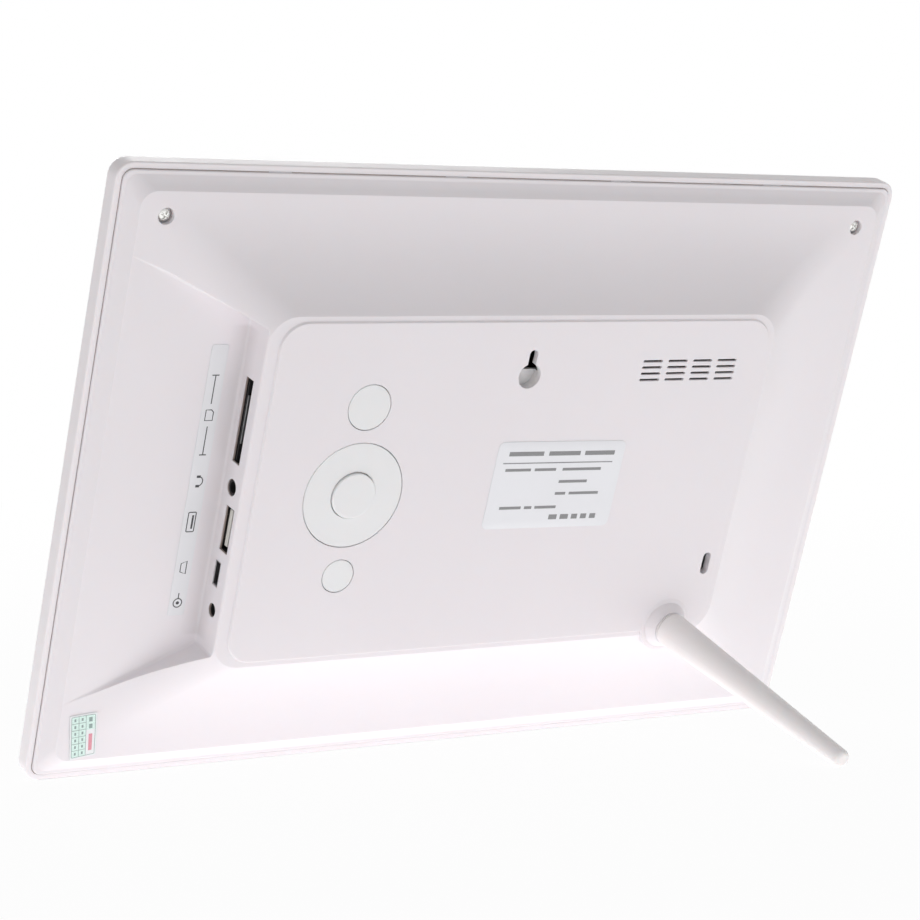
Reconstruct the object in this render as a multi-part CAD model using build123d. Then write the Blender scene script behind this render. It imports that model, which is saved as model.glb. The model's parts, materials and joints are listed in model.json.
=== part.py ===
from build123d import *
import math
import os

# Digital photo frame. Built flat in panel axes: x right from the front, y towards the back, z up, mm.
# The seam between bezel and rear cover is the plane y = 0. Every piece is then leaned and set on the floor.

# Allowances: how far a cut runs past a face, and how far a post starts inside the wall that carries it
over = 1.0
sink = 0.2

# Screen opening and case outline
window_w = 223.5
window_h = 126.0
window_bevel = 1.2
side_border = 22.25
top_border = 27.75
cover_w = window_w + 2 * side_border
cover_h = window_h + 2 * top_border
cover_r = 3.0
seam = 0.25
bezel_wall = 1.8
bezel_face = 2.0
bezel_w = cover_w + 2 * (seam + bezel_wall)
bezel_h = cover_h + 2 * (seam + bezel_wall)
bezel_r = cover_r + seam + bezel_wall
front_round = 2.5
rear_round = 0.5
wall = 2.0
skirt_depth = 3.0
flat_y = 3.0
flat_r = 5.0
rim_y = 0.6
rim_round = 0.4
rim_flat = 1.1
rim_slope = 3.9
rim_start = 20.0

# Screen stack, from the flat of the rear cover forward to the bezel's face
tray_side = 5.75
tray_top = 8.5
tray_w = window_w + 2 * tray_side
tray_h = window_h + 2 * tray_top
tray_wall = 0.5
tray_r = 1.0
layer_r = 0.5
cell_gap = 0.5
film_gap = 0.8
cell_t = 1.4
film_t = 0.5
guide_t = 1.6
sheet_t = 0.2
bracket_t = 0.6
bracket_head_t = 0.8
bracket_room = 0.4
tray_y = flat_y - wall - bracket_t - bracket_head_t - bracket_room
sheet_y = tray_y - tray_wall - sheet_t
guide_y = sheet_y - guide_t
film_y = guide_y - film_t
screen_y = film_y - cell_t
bezel_depth = bezel_face - screen_y

# Backlight edge lamps and light guide
led_edge = 0.2
led_strip_h = 0.4
led_h = 1.2
led_margin = 12.5
lamp_count = 15
lamp_w = 3.0
lamp_inset = 0.2
guide_gap = 0.2
guide_edge = 1.0
led_low = -tray_h / 2 + tray_wall + led_edge

# Brackets that hold the tray, and the screen's driver board on the tray's back
bracket_out = 5.0
bracket_end = 3.0
bracket_grip = 4.0
bracket_half = 4.0
bracket_x = tray_w / 2 + bracket_out
bracket_z = 42.0
bracket_post_r = 2.6
driver_up = 19.5
driver_margin = 27.5
driver_h = 12.0
driver_t = 0.8
driver_z = -tray_h / 2 + driver_up

# Screws
fit_gap = 0.05
small_screw_r = 0.95
small_head_r = 1.9
board_head_t = 1.0
screw_end = 0.5
screw_inset_x = 13.0
screw_inset_z = 11.95
screw_x = cover_w / 2 - screw_inset_x
screw_z = cover_h / 2 - screw_inset_z
screw_shank_r = 1.25
screw_clear = 0.2
screw_head_r = 2.0
screw_head_t = 1.2
screw_well = 1.7
screw_well_r = 2.35
screw_seat_y = flat_y - screw_well
screw_seat_t = 1.0
screw_boss_r = 4.3
post_r = 3.2
post_gap = 0.1

# Main board and the mouth of each port: length along z, height along y, radius of the round ones
board_t = 1.6
board_y = 5.6
board_front_y = board_y - board_t
shell_t = 0.3
port_skin = 0.8
port_gap = 0.2
port_clear = 0.4
board_gap = 0.8
card_len, card_high, card_depth, card_lift, card_side = 25.5, 4.3, 27.0, 0.15, 1.0
card_floor_t, card_back_t, card_room = 0.8, 3.0, 3.0
card_pins, card_pin_pitch, card_pin_w, card_pin_t, card_pin_len, card_pin_in = 9, 2.5, 1.2, 0.3, 10.0, 2.2
jack_r, jack_bore_r, jack_depth, jack_bore_depth, jack_half, jack_top = 2.5, 1.8, 11.5, 10.5, 3.2, 2.8
jack_nose_gap, jack_nose_short = 0.1, 0.5
host_len, host_high, host_depth, host_lift, host_spare = 13.7, 4.8, 14.0, 0.95, 0.3
mini_len, mini_high, mini_depth, mini_lift = 6.9, 2.4, 9.0, 0.9
mini_nose_gap, mini_nose_short = 0.1, 0.15
power_in_r, power_in_depth, power_in_bore, power_in_lift = 2.05, 12.0, 9.5, 1.25
power_in_half, power_in_room = 4.0, 0.4
power_pin_r = 0.65
power_pin_short = 0.8

# Ports in a row up the board, each a named space from the next
card_space = 3.15
host_space = 2.15
mini_space = 3.3
power_in_space = 3.35
jack_z = 0.6
card_z = jack_z + jack_half + card_space + card_side + card_len / 2
host_z = jack_z - jack_half - host_space - shell_t - host_len / 2
mini_z = host_z - host_len / 2 - shell_t - mini_space - shell_t - mini_len / 2
power_in_z = mini_z - mini_len / 2 - shell_t - power_in_space - power_in_half
card_y = board_y + card_lift + card_high / 2
jack_y = board_y + jack_r
host_mouth = host_high + host_spare
host_y = board_y + host_lift + shell_t + host_mouth / 2
mini_y = board_y + mini_lift + shell_t + mini_high / 2
power_in_y = board_y + power_in_lift + power_in_r

# Rear cover levels and outlines: the tallest port sets the platform's level
cover_room = 0.25
step_rise = 0.6
step_run = 0.4
inner_y = host_y + host_mouth / 2 + shell_t + cover_room
platform_y = inner_y + wall
ledge_y = platform_y - step_rise
recess_margin = 10.75
recess_flare = 19.2
recess_half_in = power_in_r - power_in_z + recess_margin
recess_half_out = recess_half_in + recess_flare
platform_over = 2.05
platform_w = 174.0
platform_h = 2 * (recess_half_in + platform_over)
platform_r = 8.0
ledge_margin = 2.5
ledge_over = 1.85
port_margin = 4.2
ledge_w = platform_w + 2 * ledge_margin
ledge_h = platform_h + 2 * ledge_over
ledge_r = platform_r + 1.0
port_wall_x = ledge_w / 2
port_x = port_wall_x - port_skin - port_gap
recess_edge = 3.0
recess_end_x = cover_w / 2 - recess_edge
recess_sink = 0.05
recess_floor_y = flat_y - recess_sink
recess_base_round = 1.0
recess_top_round = 0.7

# Switches and the four-way ring's gimbal, from the middle switch outwards
switch_w = 5.2
switch_h = 3.4
switch_well = 1.2
plunger_r = 1.2
plunger_gap = 0.35
plunger_in = 1.0
stem_rise = 1.0
stem_r = 2.2
nav_stem_r = 1.7
post_clear = 0.42
post_wall = 0.9
post_in_r = switch_w / math.sqrt(2) + post_clear
post_out_r = post_in_r + post_wall
gimbal_clear = 1.0
gimbal_wall = 1.4
gimbal_half = 0.9
gimbal_in_r = post_out_r + gimbal_clear
gimbal_out_r = gimbal_in_r + gimbal_wall
hub_clear = 0.7
hub_wall = 1.4
hub_half = 1.3
hub_in_r = gimbal_out_r + hub_clear
hub_out_r = hub_in_r + hub_wall
trunnion_r = 0.6
trunnion_fit = 0.05
trunnion_short = 0.2
pivot_down = 2.3
pivot_y = inner_y - pivot_down
nav_clear = 0.2
nav_switch_r = hub_out_r + nav_clear + switch_w / 2
ring_margin = 3.9
ring_r = nav_switch_r + ring_margin
ring_flange = 1.2
ring_flange_r = ring_r + ring_flange
ring_wall = 1.0
tilt_room = 0.9

# Button caps and their places
button_gap = 0.22
cap_t = 1.6
cap_edge = 0.15
ring_edge = 0.15
ok_rise = 0.7
ok_edge = 0.3
flange_over = 1.0
flange_t = 0.8
skirt_t = 1.0
ok_margin = 1.1
ok_r = hub_in_r - ok_margin
ok_stem_gap = 0.4
power_r = 6.9
menu_r = 5.1
power_space = 4.1
menu_space = 4.2
ring_space = 4.1
nav_z = -0.65
power_z = nav_z + ring_r + power_space + power_r
menu_z = nav_z - ring_r - menu_space - menu_r
button_x = port_x - host_depth - ring_flange_r - ring_space
ring_flange_y = inner_y - tilt_room - flange_t
stem_end_y = board_y + switch_h + stem_rise
plunger_end_y = board_y + switch_h - plunger_in
cap_low = platform_y - cap_t
switch_places = [(button_x, power_z), (button_x, nav_z), (button_x, menu_z)]
nav_places = [(button_x + nav_switch_r, nav_z), (button_x - nav_switch_r, nav_z)]
nav_places += [(button_x, nav_z + nav_switch_r), (button_x, nav_z - nav_switch_r)]

# Board outline, its posts and the parts on it, placed from the ring's axis: x, z, then size x, z, y
board_reach = 45.0
board_margin = 4.8
board_inset = 4.0
board_far_post = 21.0
board_post_r = 2.4
board_screw_len = 5.0
board_x0 = button_x - board_reach
board_x1 = port_wall_x - wall - board_gap
board_half_h = power_in_half - power_in_z + board_margin
processor_at = (-28.0, -8.0, 14.0, 14.0, 1.4)
memory_at = [(-35.0, -26.0, 11.0, 8.0, 1.0), (-21.0, -26.0, 11.0, 8.0, 1.0)]
inductor_at = [(4.0, -42.0, 7.0, 7.0, 3.6), (-5.0, -42.0, 7.0, 7.0, 3.6)]
crystal_at = (-28.0, 6.0, 8.0, 3.5, 2.4)
capacitor_at = [(-23.0, -41.5), (-29.0, -41.5), (27.0, 41.5), (21.5, 41.5)]
capacitor_r = 2.2
capacitor_h = 5.2
ribbon_in = 7.0
ribbon_x = button_x - ribbon_in
ribbon_w = 18.0
ribbon_t = 0.2
ribbon_end = 4.0
ribbon_hold = 3.0
socket_up = 10.0
socket_z = -board_half_h + socket_up
socket_w = 22.0
socket_half = 2.0
socket_t = 1.4
socket_mouth = 0.8

# Keyhole, grille and lock slot, placed from the platform's edges
key_down = 16.85
key_z = platform_h / 2 - key_down
key_r = 3.85
key_slot_w = 2.9
key_slot_rise = 8.2
key_slot_top = key_z + key_slot_rise
pocket_gap = 0.6
pocket_wall = 1.2
pocket_depth = 2.4
pocket_lip = 0.6
grille_in = 28.7
grille_down = 15.75
grille_x = -platform_w / 2 + grille_in
grille_z = platform_h / 2 - grille_down
grille_slot = (7.3, 0.75)
grille_pitch = (9.4, 2.0)
grille_count = 4
grille_skin = 0.8
grille_gap = 0.2
grille_y = platform_y - grille_skin
lock_in = 4.1
lock_up = 22.35
lock_x = -platform_w / 2 + lock_in
lock_z = -platform_h / 2 + lock_up
lock_slot = (7.4, 3.0)
lock_rim = 1.2
lock_deep = 0.6

# Speaker
speaker_w = 40.0
speaker_h = 20.0
speaker_rim = 2.0
gasket_t = 0.8
basket_t = 3.0
basket_wall = 1.0
cone_gap = 0.1
cone_neck = (14.0, 8.0)
magnet_r = 7.0
magnet_t = 3.2
cloth_t = 0.2
speaker_y = grille_y - cloth_t - gasket_t
lead_socket_in = 6.0
lead_socket_x = board_x0 + lead_socket_in
lead_socket_z = 16.0
lead_socket_w = 6.0
lead_socket_h = 5.0
lead_socket_room = 0.4
lead_r = 0.5
lead_bend = 7.0
lead_straight = 10.0
lead_slant = 13.0
lead_low = 0.1
lead_high = 0.7

# Stand leg
leg_in = 15.0
leg_up = 1.65
leg_x = -platform_w / 2 + leg_in
leg_z = -platform_h / 2 + leg_up
boss_rise = 3.0
boss_root = 4.5
boss_step = 0.25
boss_edge = 0.25
boss_slope = 0.9
boss_top_y = platform_y + boss_rise
boss_step_r = 9.0
boss_base_r = 7.6
boss_rim_r = 5.9
insert_r = 4.2
insert_sunk = 0.2
stud_r = 3.0
insert_end_y = 6.2
stud_end_y = 8.0
stud_in_leg = 6.0
stud_fit = 0.05
washer_t = 0.6
washer_gap = 0.1
washer_inset = 0.25
leg_root_r = 5.5
leg_root_round = 0.5
leg_tip_r = 2.8
leg_tip_round = 1.4
leg_end_y = 106.6
leg_root_y = boss_top_y + 2 * washer_gap + washer_t
leg_tip_y = leg_end_y - leg_tip_round
leg_flat_r = leg_tip_r - leg_tip_round


def plan(y):
    # Drawing plane of the back view: local x is x, local y is z
    return Plane(origin=(0, y, 0), x_dir=(1, 0, 0), z_dir=(0, -1, 0))


def raise_outline(outline, y0, y1):
    return extrude(plan(y0) * outline, amount=y1 - y0, dir=(0, 1, 0))


def slab(w, h, r, y0, y1):
    return raise_outline(RectangleRounded(w, h, r), y0, y1)


def block(x0, x1, y0, y1, z0, z1):
    centre = Pos((x0 + x1) / 2, (y0 + y1) / 2, (z0 + z1) / 2)
    return centre * Box(x1 - x0, y1 - y0, z1 - z0)


def rod(x, z, r, y0, y1):
    return Pos(x, (y0 + y1) / 2, z) * Rot(90, 0, 0) * Cylinder(r, y1 - y0)


def tube(x, z, r_out, r_in, y0, y1):
    return rod(x, z, r_out, y0, y1) - rod(x, z, r_in, y0 - over, y1 + over)


def rod_x(y, z, r, x0, x1):
    return Pos((x0 + x1) / 2, y, z) * Rot(0, 90, 0) * Cylinder(r, x1 - x0)


def rod_z(x, y, r, z0, z1):
    return Pos(x, y, (z0 + z1) / 2) * Cylinder(r, z1 - z0)


def turned(x, z, points):
    # Revolve a closed outline of (radius, y) points about the axis along y through (x, z)
    outline = make_face(Polyline(*points, close=True))
    return Pos(x, 0, z) * revolve(outline, axis=Axis.Y)


def joined(solids):
    total = solids[0]
    for solid in solids[1:]:
        total = total + solid
    return total


def corners(dx, dz):
    return [(-dx, -dz), (dx, -dz), (-dx, dz), (dx, dz)]


def screw(x, z, shank_r, head_r, head_t, seat_y, end_y):
    # Domed pan head on the seat and a plain shank; a head below its seat faces the front
    way = head_t if end_y < seat_y else -head_t
    dome = [(0, 0), (1, 0), (1, 0.45), (0.8, 0.85), (0.45, 1), (0, 1)]
    head = [(head_r * across, seat_y + way * up) for across, up in dome]
    shank = rod(x, z, shank_r, min(seat_y, end_y), max(seat_y, end_y))
    return turned(x, z, head) + shank


# Rear cover: rim and cove, then ramps that curve up as circular arcs to the ledge, then the platform
def cove_point(share):
    # Circular arc from the rim up to the flat, steeper towards the flat: run inwards and rise
    rise = flat_y - rim_y
    chord = math.atan2(rise, rim_slope)
    start = math.radians(rim_start)
    radius = math.hypot(rise, rim_slope) / (2 * math.sin(chord - start))
    turn = start + 2 * (chord - start) * share
    return radius * (math.sin(turn) - math.sin(start)), radius * (math.cos(start) - math.cos(turn))


def ramp_level(share):
    run = (cover_h - ledge_h) / 2 - rim_flat - rim_slope
    rise = ledge_y - flat_y
    radius = (run * run + rise * rise) / (2 * rise)
    return flat_y + radius - math.sqrt(radius * radius - (share * run) ** 2)


def cove_section(share, drop):
    run, rise = cove_point(share)
    inset = 2 * (rim_flat + run)
    r = cover_r * (1 - share) + flat_r * share
    return plan(rim_y + rise - drop) * RectangleRounded(cover_w - inset, cover_h - inset, r)


def ramp_section(share, drop):
    edge = 2 * (rim_flat + rim_slope)
    w = (cover_w - edge) * (1 - share) + ledge_w * share
    h = (cover_h - edge) * (1 - share) + ledge_h * share
    r = flat_r * (1 - share) + ledge_r * share
    return plan(ramp_level(share) - drop) * RectangleRounded(w, h, r)


def platform_outline(grow):
    # The platform keeps further from the port wall than from the ledge's other edges
    extra = port_margin - ledge_margin
    outline = RectangleRounded(platform_w - extra + 2 * grow, platform_h + 2 * grow, platform_r + grow)
    return Pos(-extra / 2, 0) * outline


def cover_form(drop):
    base = slab(cover_w, cover_h, cover_r, -skirt_depth - drop, rim_y - drop)
    base = fillet(base.faces().sort_by(Axis.Y)[-1].edges(), rim_round)
    cove = loft([cove_section(share, drop) for share in (0.0, 0.33, 0.67, 1.0)])
    ramp = loft([ramp_section(share, drop) for share in (0.0, 0.2, 0.4, 0.6, 0.8, 1.0)])
    foot = plan(ledge_y - drop) * platform_outline(step_run)
    face = plan(platform_y - drop) * platform_outline(0.0)
    return base + cove + ramp + loft([foot, face], ruled=True)


def recess_form(grow, drop):
    outline = Polygon(
        (port_wall_x, -recess_half_in),
        (recess_end_x, -recess_half_out),
        (recess_end_x, recess_half_out),
        (port_wall_x, recess_half_in),
        align=None,
    )
    if grow > 0:
        outline = offset(outline, amount=grow, kind=Kind.INTERSECTION)
    return raise_outline(outline, recess_floor_y - drop, platform_y + over)


def keyhole_cut():
    top = key_slot_top - key_slot_w / 2
    low_y = inner_y - sink
    high_y = platform_y + over
    slot = block(-key_slot_w / 2, key_slot_w / 2, low_y, high_y, key_z, top)
    return rod(0, key_z, key_r, low_y, high_y) + slot + rod(0, top, key_slot_w / 2, low_y, high_y)


def keyhole_pocket():
    # Lower half of a round cup behind the hole; the screw head slides up behind the slot above it
    floor_y = inner_y - pocket_depth
    cup_r = key_r + pocket_gap + pocket_wall
    cup = rod(0, key_z, cup_r, floor_y - pocket_wall, inner_y + sink)
    room = rod(0, key_z, key_r + pocket_gap, floor_y, inner_y + over)
    low_y = floor_y - pocket_wall - over
    way = block(-cup_r, cup_r, low_y, inner_y + over, key_z + pocket_lip, key_z + cup_r)
    return cup - room - way


def grille_cut():
    slots = []
    for i in range(grille_count):
        for k in range(grille_count):
            x = grille_x + (i - (grille_count - 1) / 2) * grille_pitch[0]
            z = grille_z + (k - (grille_count - 1) / 2) * grille_pitch[1]
            slots.append(Pos(x, z) * SlotOverall(*grille_slot))
    return raise_outline(Sketch() + slots, inner_y - over, platform_y + over)


def lock_collar():
    outline = SlotOverall(lock_slot[0] + 2 * lock_rim, lock_slot[1] + 2 * lock_rim, rotation=90)
    return raise_outline(Pos(lock_x, lock_z) * outline, inner_y - lock_deep, inner_y + sink)


def lock_cut():
    slot = Pos(lock_x, lock_z) * SlotOverall(*lock_slot, rotation=90)
    return raise_outline(slot, inner_y - wall, platform_y + over)


def port_cuts():
    x0 = port_wall_x - wall - over
    x1 = port_wall_x + over
    around = 2 * (shell_t + mini_nose_gap)
    boxes = [
        (card_z, card_y, card_len, card_high),
        (host_z, host_y, host_len, host_high),
        (mini_z, mini_y, mini_len + around, mini_high + around),
    ]
    cuts = [rod_x(jack_y, jack_z, jack_r, x0, x1), rod_x(power_in_y, power_in_z, power_in_r, x0, x1)]
    for z, y, length, high in boxes:
        cuts.append(block(x0, x1, y - high / 2, y + high / 2, z - length / 2, z + length / 2))
    return cuts


def port_pocket():
    # Thinned inside of the port wall, so that the sockets' mouths stand close behind their openings
    x0 = port_wall_x - port_margin - over
    z0 = power_in_z - power_in_half - port_clear
    z1 = card_z + card_len / 2 + card_side + port_clear
    return block(x0, port_wall_x - port_skin, board_front_y - port_clear, inner_y, z0, z1)


def board_posts():
    return [
        (board_x0 + board_inset, -board_half_h + board_inset),
        (board_x0 + board_inset, board_half_h - board_inset),
        (board_x1 - board_far_post, -board_half_h + board_inset),
        (board_x1 - board_far_post, board_half_h - board_inset),
    ]


def leg_boss():
    # Conical collar on a low round step, narrowing to the rim that the leg's washer seats on
    base_y = platform_y - boss_root
    step_y = platform_y + boss_step
    outline = [(0, base_y), (boss_step_r, base_y), (boss_step_r, platform_y)]
    outline += [(boss_step_r - boss_slope, step_y), (boss_base_r, step_y)]
    outline += [(boss_rim_r, boss_top_y - boss_edge), (boss_rim_r - boss_edge, boss_top_y), (0, boss_top_y)]
    pillar = rod(leg_x, leg_z, insert_r + wall, insert_end_y - wall, platform_y)
    return turned(leg_x, leg_z, outline) + pillar


def on_diagonal(point):
    widen = recess_flare / (recess_end_x - port_wall_x)
    return abs(abs(point.Z) - recess_half_in - (point.X - port_wall_x) * widen) < 0.02


def on_port_wall(point):
    return abs(point.X - port_wall_x) < 0.02


def recess_corners(body):
    # Inner corners of the recess: where its walls meet the floor and each other
    picked = []
    for edge in body.edges():
        ends = [edge @ 0, edge @ 0.5, edge @ 1]
        at_wall = all(on_port_wall(p) for p in ends)
        at_diagonal = all(on_diagonal(p) for p in ends)
        at_floor = all(abs(p.Y - recess_floor_y) < 0.01 for p in ends)
        if (at_wall and at_diagonal) or (at_floor and (at_wall or at_diagonal)):
            picked.append(edge)
    return picked


def port_wall_top(body):
    near = [e for e in body.edges() if on_port_wall(e @ 0) and on_port_wall(e @ 1)]
    return [e for e in near if e.length > platform_h / 2 and e.center().Y > ledge_y - 0.1]


def rear_cover():
    body = cover_form(0.0) - recess_form(0.0, 0.0)
    body = fillet(recess_corners(body), recess_base_round)
    body = fillet(port_wall_top(body), recess_top_round)
    room_w = cover_w - 2 * wall
    room_h = cover_h - 2 * wall
    room_r = cover_r - wall / 2
    front_y = -skirt_depth - over
    hollow = cover_form(wall) & slab(room_w, room_h, room_r, front_y, platform_y)
    hollow = hollow + slab(room_w, room_h, room_r, front_y, -wall)
    hollow = hollow - recess_form(wall, wall)
    body = body - hollow - port_pocket()
    body = body - track(speaker_w + 2 * grille_gap, speaker_h + 2 * grille_gap, inner_y - over, grille_y)
    body = body + keyhole_pocket() + lock_collar()
    for x, z in board_posts():
        body = body + rod(x, z, board_post_r, board_y, inner_y + sink)
        body = body - rod(x, z, small_screw_r + fit_gap, board_y - over, inner_y - over)
    body = body + leg_boss()
    body = body - rod(leg_x, leg_z, insert_r, insert_end_y, boss_top_y + over)
    body = body - keyhole_cut() - grille_cut() - lock_cut()
    for cut in port_cuts():
        body = body - cut
    for z, r in ((power_z, power_r), (menu_z, menu_r), (nav_z, ring_r)):
        body = body - rod(button_x, z, r + button_gap, inner_y - over, platform_y + over)
    for x, z in corners(screw_x, screw_z):
        body = body + rod(x, z, screw_boss_r, screw_seat_y - screw_seat_t, flat_y - wall + sink)
        body = body - rod(x, z, screw_well_r, screw_seat_y, ledge_y)
        body = body - rod(x, z, screw_shank_r + screw_clear, screw_seat_y - screw_seat_t - over, ledge_y)
    return body


def front_bezel():
    body = slab(bezel_w, bezel_h, bezel_r, -bezel_depth, 0)
    body = fillet(body.faces().sort_by(Axis.Y)[0].edges(), front_round)
    body = fillet(body.faces().sort_by(Axis.Y)[-1].edges(), rear_round)
    body = body - slab(cover_w + 2 * seam, cover_h + 2 * seam, cover_r + seam, screen_y, over)
    low = plan(-bezel_depth) * Rectangle(window_w + 2 * window_bevel, window_h + 2 * window_bevel)
    high = plan(screen_y) * Rectangle(window_w, window_h)
    body = body - loft([low, high], ruled=True)
    for x, z in corners(screw_x, screw_z):
        body = body + rod(x, z, post_r, screen_y, screw_seat_y - screw_seat_t - post_gap)
        body = body - rod(x, z, screw_shank_r + fit_gap, screen_y, flat_y)
    for x, z in corners(bracket_x, bracket_z):
        body = body + rod(x, z, bracket_post_r, screen_y, tray_y)
        body = body - rod(x, z, small_screw_r + fit_gap, screen_y, tray_y + over)
    return body


def case_screws():
    places = corners(screw_x, screw_z)
    sizes = (screw_shank_r, screw_head_r, screw_head_t, screw_seat_y, screen_y + screw_end)
    return [screw(x, z, *sizes) for x, z in places]


# Screen pieces, front to back
def backlight_tray():
    body = slab(tray_w, tray_h, tray_r, screen_y, tray_y)
    inner_w = tray_w - 2 * tray_wall
    inner_h = tray_h - 2 * tray_wall
    return body - slab(inner_w, inner_h, tray_r - tray_wall, screen_y - over, tray_y - tray_wall)


def screen_layer(gap, y0, thick):
    trim = 2 * (tray_wall + gap)
    return slab(tray_w - trim, tray_h - trim, layer_r, y0, y0 + thick)


def light_guide():
    half_w = tray_w / 2 - tray_wall - guide_edge
    top = tray_h / 2 - tray_wall - guide_edge
    return block(-half_w, half_w, guide_y, sheet_y, led_low + led_h + guide_gap, top)


def led_bar():
    half_w = tray_w / 2 - led_margin
    pitch = 2 * half_w / lamp_count
    low = led_low + led_strip_h
    pieces = [block(-half_w, half_w, guide_y, sheet_y, led_low, low)]
    for i in range(lamp_count):
        x = (i - (lamp_count - 1) / 2) * pitch
        y0 = guide_y + lamp_inset
        y1 = sheet_y - lamp_inset
        pieces.append(block(x - lamp_w / 2, x + lamp_w / 2, y0, y1, low, led_low + led_h))
    return joined(pieces)


def driver_board():
    half_w = tray_w / 2 - driver_margin
    return block(-half_w, half_w, tray_y, tray_y + driver_t, driver_z - driver_h / 2, driver_z + driver_h / 2)


def ribbon_socket():
    x0 = ribbon_x - socket_w / 2
    x1 = ribbon_x + socket_w / 2
    z0 = socket_z - socket_half
    z1 = socket_z + socket_half
    return block(x0, x1, board_front_y - socket_t, board_front_y, z0, z1)


def lcd_ribbon():
    # Flat strip from the driver board, bending back to its socket on the front of the main board
    y0 = tray_y + driver_t
    y1 = board_front_y - socket_mouth
    end_z = socket_z - socket_half
    path = [(y0, driver_z - ribbon_hold), (y0, driver_z + ribbon_end), (y1, end_z - ribbon_end), (y1, end_z)]
    back = [(y + ribbon_t, z) for y, z in reversed(path)]
    outline = make_face(Polyline(*(path + back), close=True))
    strip = extrude(Plane.YZ * outline, amount=ribbon_w)
    return Pos(ribbon_x - ribbon_w / 2, 0, 0) * strip


def brackets():
    out = []
    for x, z in corners(bracket_x, bracket_z):
        side = 1 if x > 0 else -1
        x0, x1 = sorted((side * (tray_w / 2 - bracket_grip), x + side * bracket_end))
        plate = block(x0, x1, tray_y, tray_y + bracket_t, z - bracket_half, z + bracket_half)
        out.append(plate - rod(x, z, small_screw_r + 2 * fit_gap, tray_y - over, tray_y + over))
    return out


def bracket_screws():
    places = corners(bracket_x, bracket_z)
    sizes = (small_screw_r, small_head_r, bracket_head_t, tray_y + bracket_t, screen_y + screw_end)
    return [screw(x, z, *sizes) for x, z in places]


# Main board and what is soldered on its back
def main_board():
    body = block(board_x0, board_x1, board_front_y, board_y, -board_half_h, board_half_h)
    for x, z in board_posts():
        body = body - rod(x, z, small_screw_r + screw_clear, board_front_y - over, board_y + over)
    return body


def board_screws():
    sizes = (small_screw_r, small_head_r, board_head_t, board_front_y, board_y + board_screw_len)
    return [screw(x, z, *sizes) for x, z in board_posts()]


def chip(x, z, w, h, t):
    return block(x - w / 2, x + w / 2, board_y, board_y + t, z - h / 2, z + h / 2)


def board_part(x, z, w, h, t):
    return chip(button_x + x, z, w, h, t)


def capacitors():
    return [rod(button_x + x, z, capacitor_r, board_y, board_y + capacitor_h) for x, z in capacitor_at]


def card_socket_base():
    low = card_z - card_len / 2
    high = card_z + card_len / 2
    rim = card_side - 2 * sink
    x0 = port_x - card_depth
    pin_x = x0 + card_back_t
    pin_y = board_y + card_floor_t
    pieces = [block(x0, port_x, board_y, pin_y, low - rim, high + rim)]
    pieces.append(block(x0, pin_x, board_y, board_y + card_room, low - rim, high + rim))
    for i in range(card_pins):
        z = low + card_pin_in + card_pin_pitch * i
        pieces.append(block(pin_x, pin_x + card_pin_len, pin_y, pin_y + card_pin_t, z, z + card_pin_w))
    return joined(pieces)


def card_socket_shell():
    low = card_z - card_len / 2 - card_side
    high = card_z + card_len / 2 + card_side
    x0 = port_x - card_depth + over
    top_y = board_y + card_room
    pieces = [block(x0, port_x, top_y, top_y + shell_t, low, high)]
    for z in (low, high - shell_t):
        pieces.append(block(x0, port_x, board_y, top_y + shell_t / 2, z, z + shell_t))
    return joined(pieces)


def audio_jack():
    z0 = jack_z - jack_half
    z1 = jack_z + jack_half
    body = block(port_x - jack_depth, port_x, board_y, jack_y + jack_top, z0, z1)
    nose = rod_x(jack_y, jack_z, jack_r - jack_nose_gap, port_x - over, port_wall_x - jack_nose_short)
    bore = rod_x(jack_y, jack_z, jack_bore_r, port_x - jack_bore_depth, port_wall_x + over)
    return body + nose - bore


def port_shell(z, y, length, high, depth, mouth_x):
    # Folded metal mouth around the tongue, with two tabs down to the board
    z0 = z - length / 2
    z1 = z + length / 2
    y0 = y - high / 2
    y1 = y + high / 2
    body = block(port_x - depth, mouth_x, y0 - shell_t, y1 + shell_t, z0 - shell_t, z1 + shell_t)
    body = body - block(port_x - depth + shell_t, mouth_x + over, y0, y1, z0, z1)
    tab_x0 = port_x - depth * 0.8
    tab_x1 = port_x - depth * 0.3
    for side in (z0 - shell_t, z1):
        body = body + block(tab_x0, tab_x1, board_y, y0, side, side + shell_t)
    return body


def mini_shell():
    # The small port's mouth reaches through its opening, almost flush with the wall
    return port_shell(mini_z, mini_y, mini_len, mini_high, mini_depth, port_wall_x - mini_nose_short)


def host_tongue():
    back = port_x - host_depth + shell_t
    root = back + 0.25 * host_depth
    z0 = host_z - 0.41 * host_len
    z1 = host_z + 0.41 * host_len
    half_y = host_mouth / 2 - shell_t
    base = block(back, root, host_y - half_y, host_y + half_y, z0, z1)
    tip = block(root - sink, port_x - shell_t, host_y - half_y + shell_t, host_y - shell_t, z0, z1)
    return base + tip


def mini_tongue():
    back = port_x - mini_depth + shell_t
    root = back + 0.25 * mini_depth
    half_z = 0.35 * mini_len
    half_y = mini_high / 2 - shell_t
    base = block(back, root, mini_y - half_y, mini_y + half_y, mini_z - half_z, mini_z + half_z)
    thin = 0.12 * mini_high
    tip = block(root - sink, port_x - over, mini_y - thin, mini_y + thin, mini_z - half_z, mini_z + half_z)
    return base + tip


def dc_jack():
    z0 = power_in_z - power_in_half
    z1 = power_in_z + power_in_half
    body = block(port_x - power_in_depth, port_x, board_y, inner_y - power_in_room, z0, z1)
    return body - rod_x(power_in_y, power_in_z, power_in_r, port_x - power_in_bore, port_x + over)


def dc_pin():
    return rod_x(power_in_y, power_in_z, power_pin_r, port_x - power_in_bore, port_x - power_pin_short)


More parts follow.
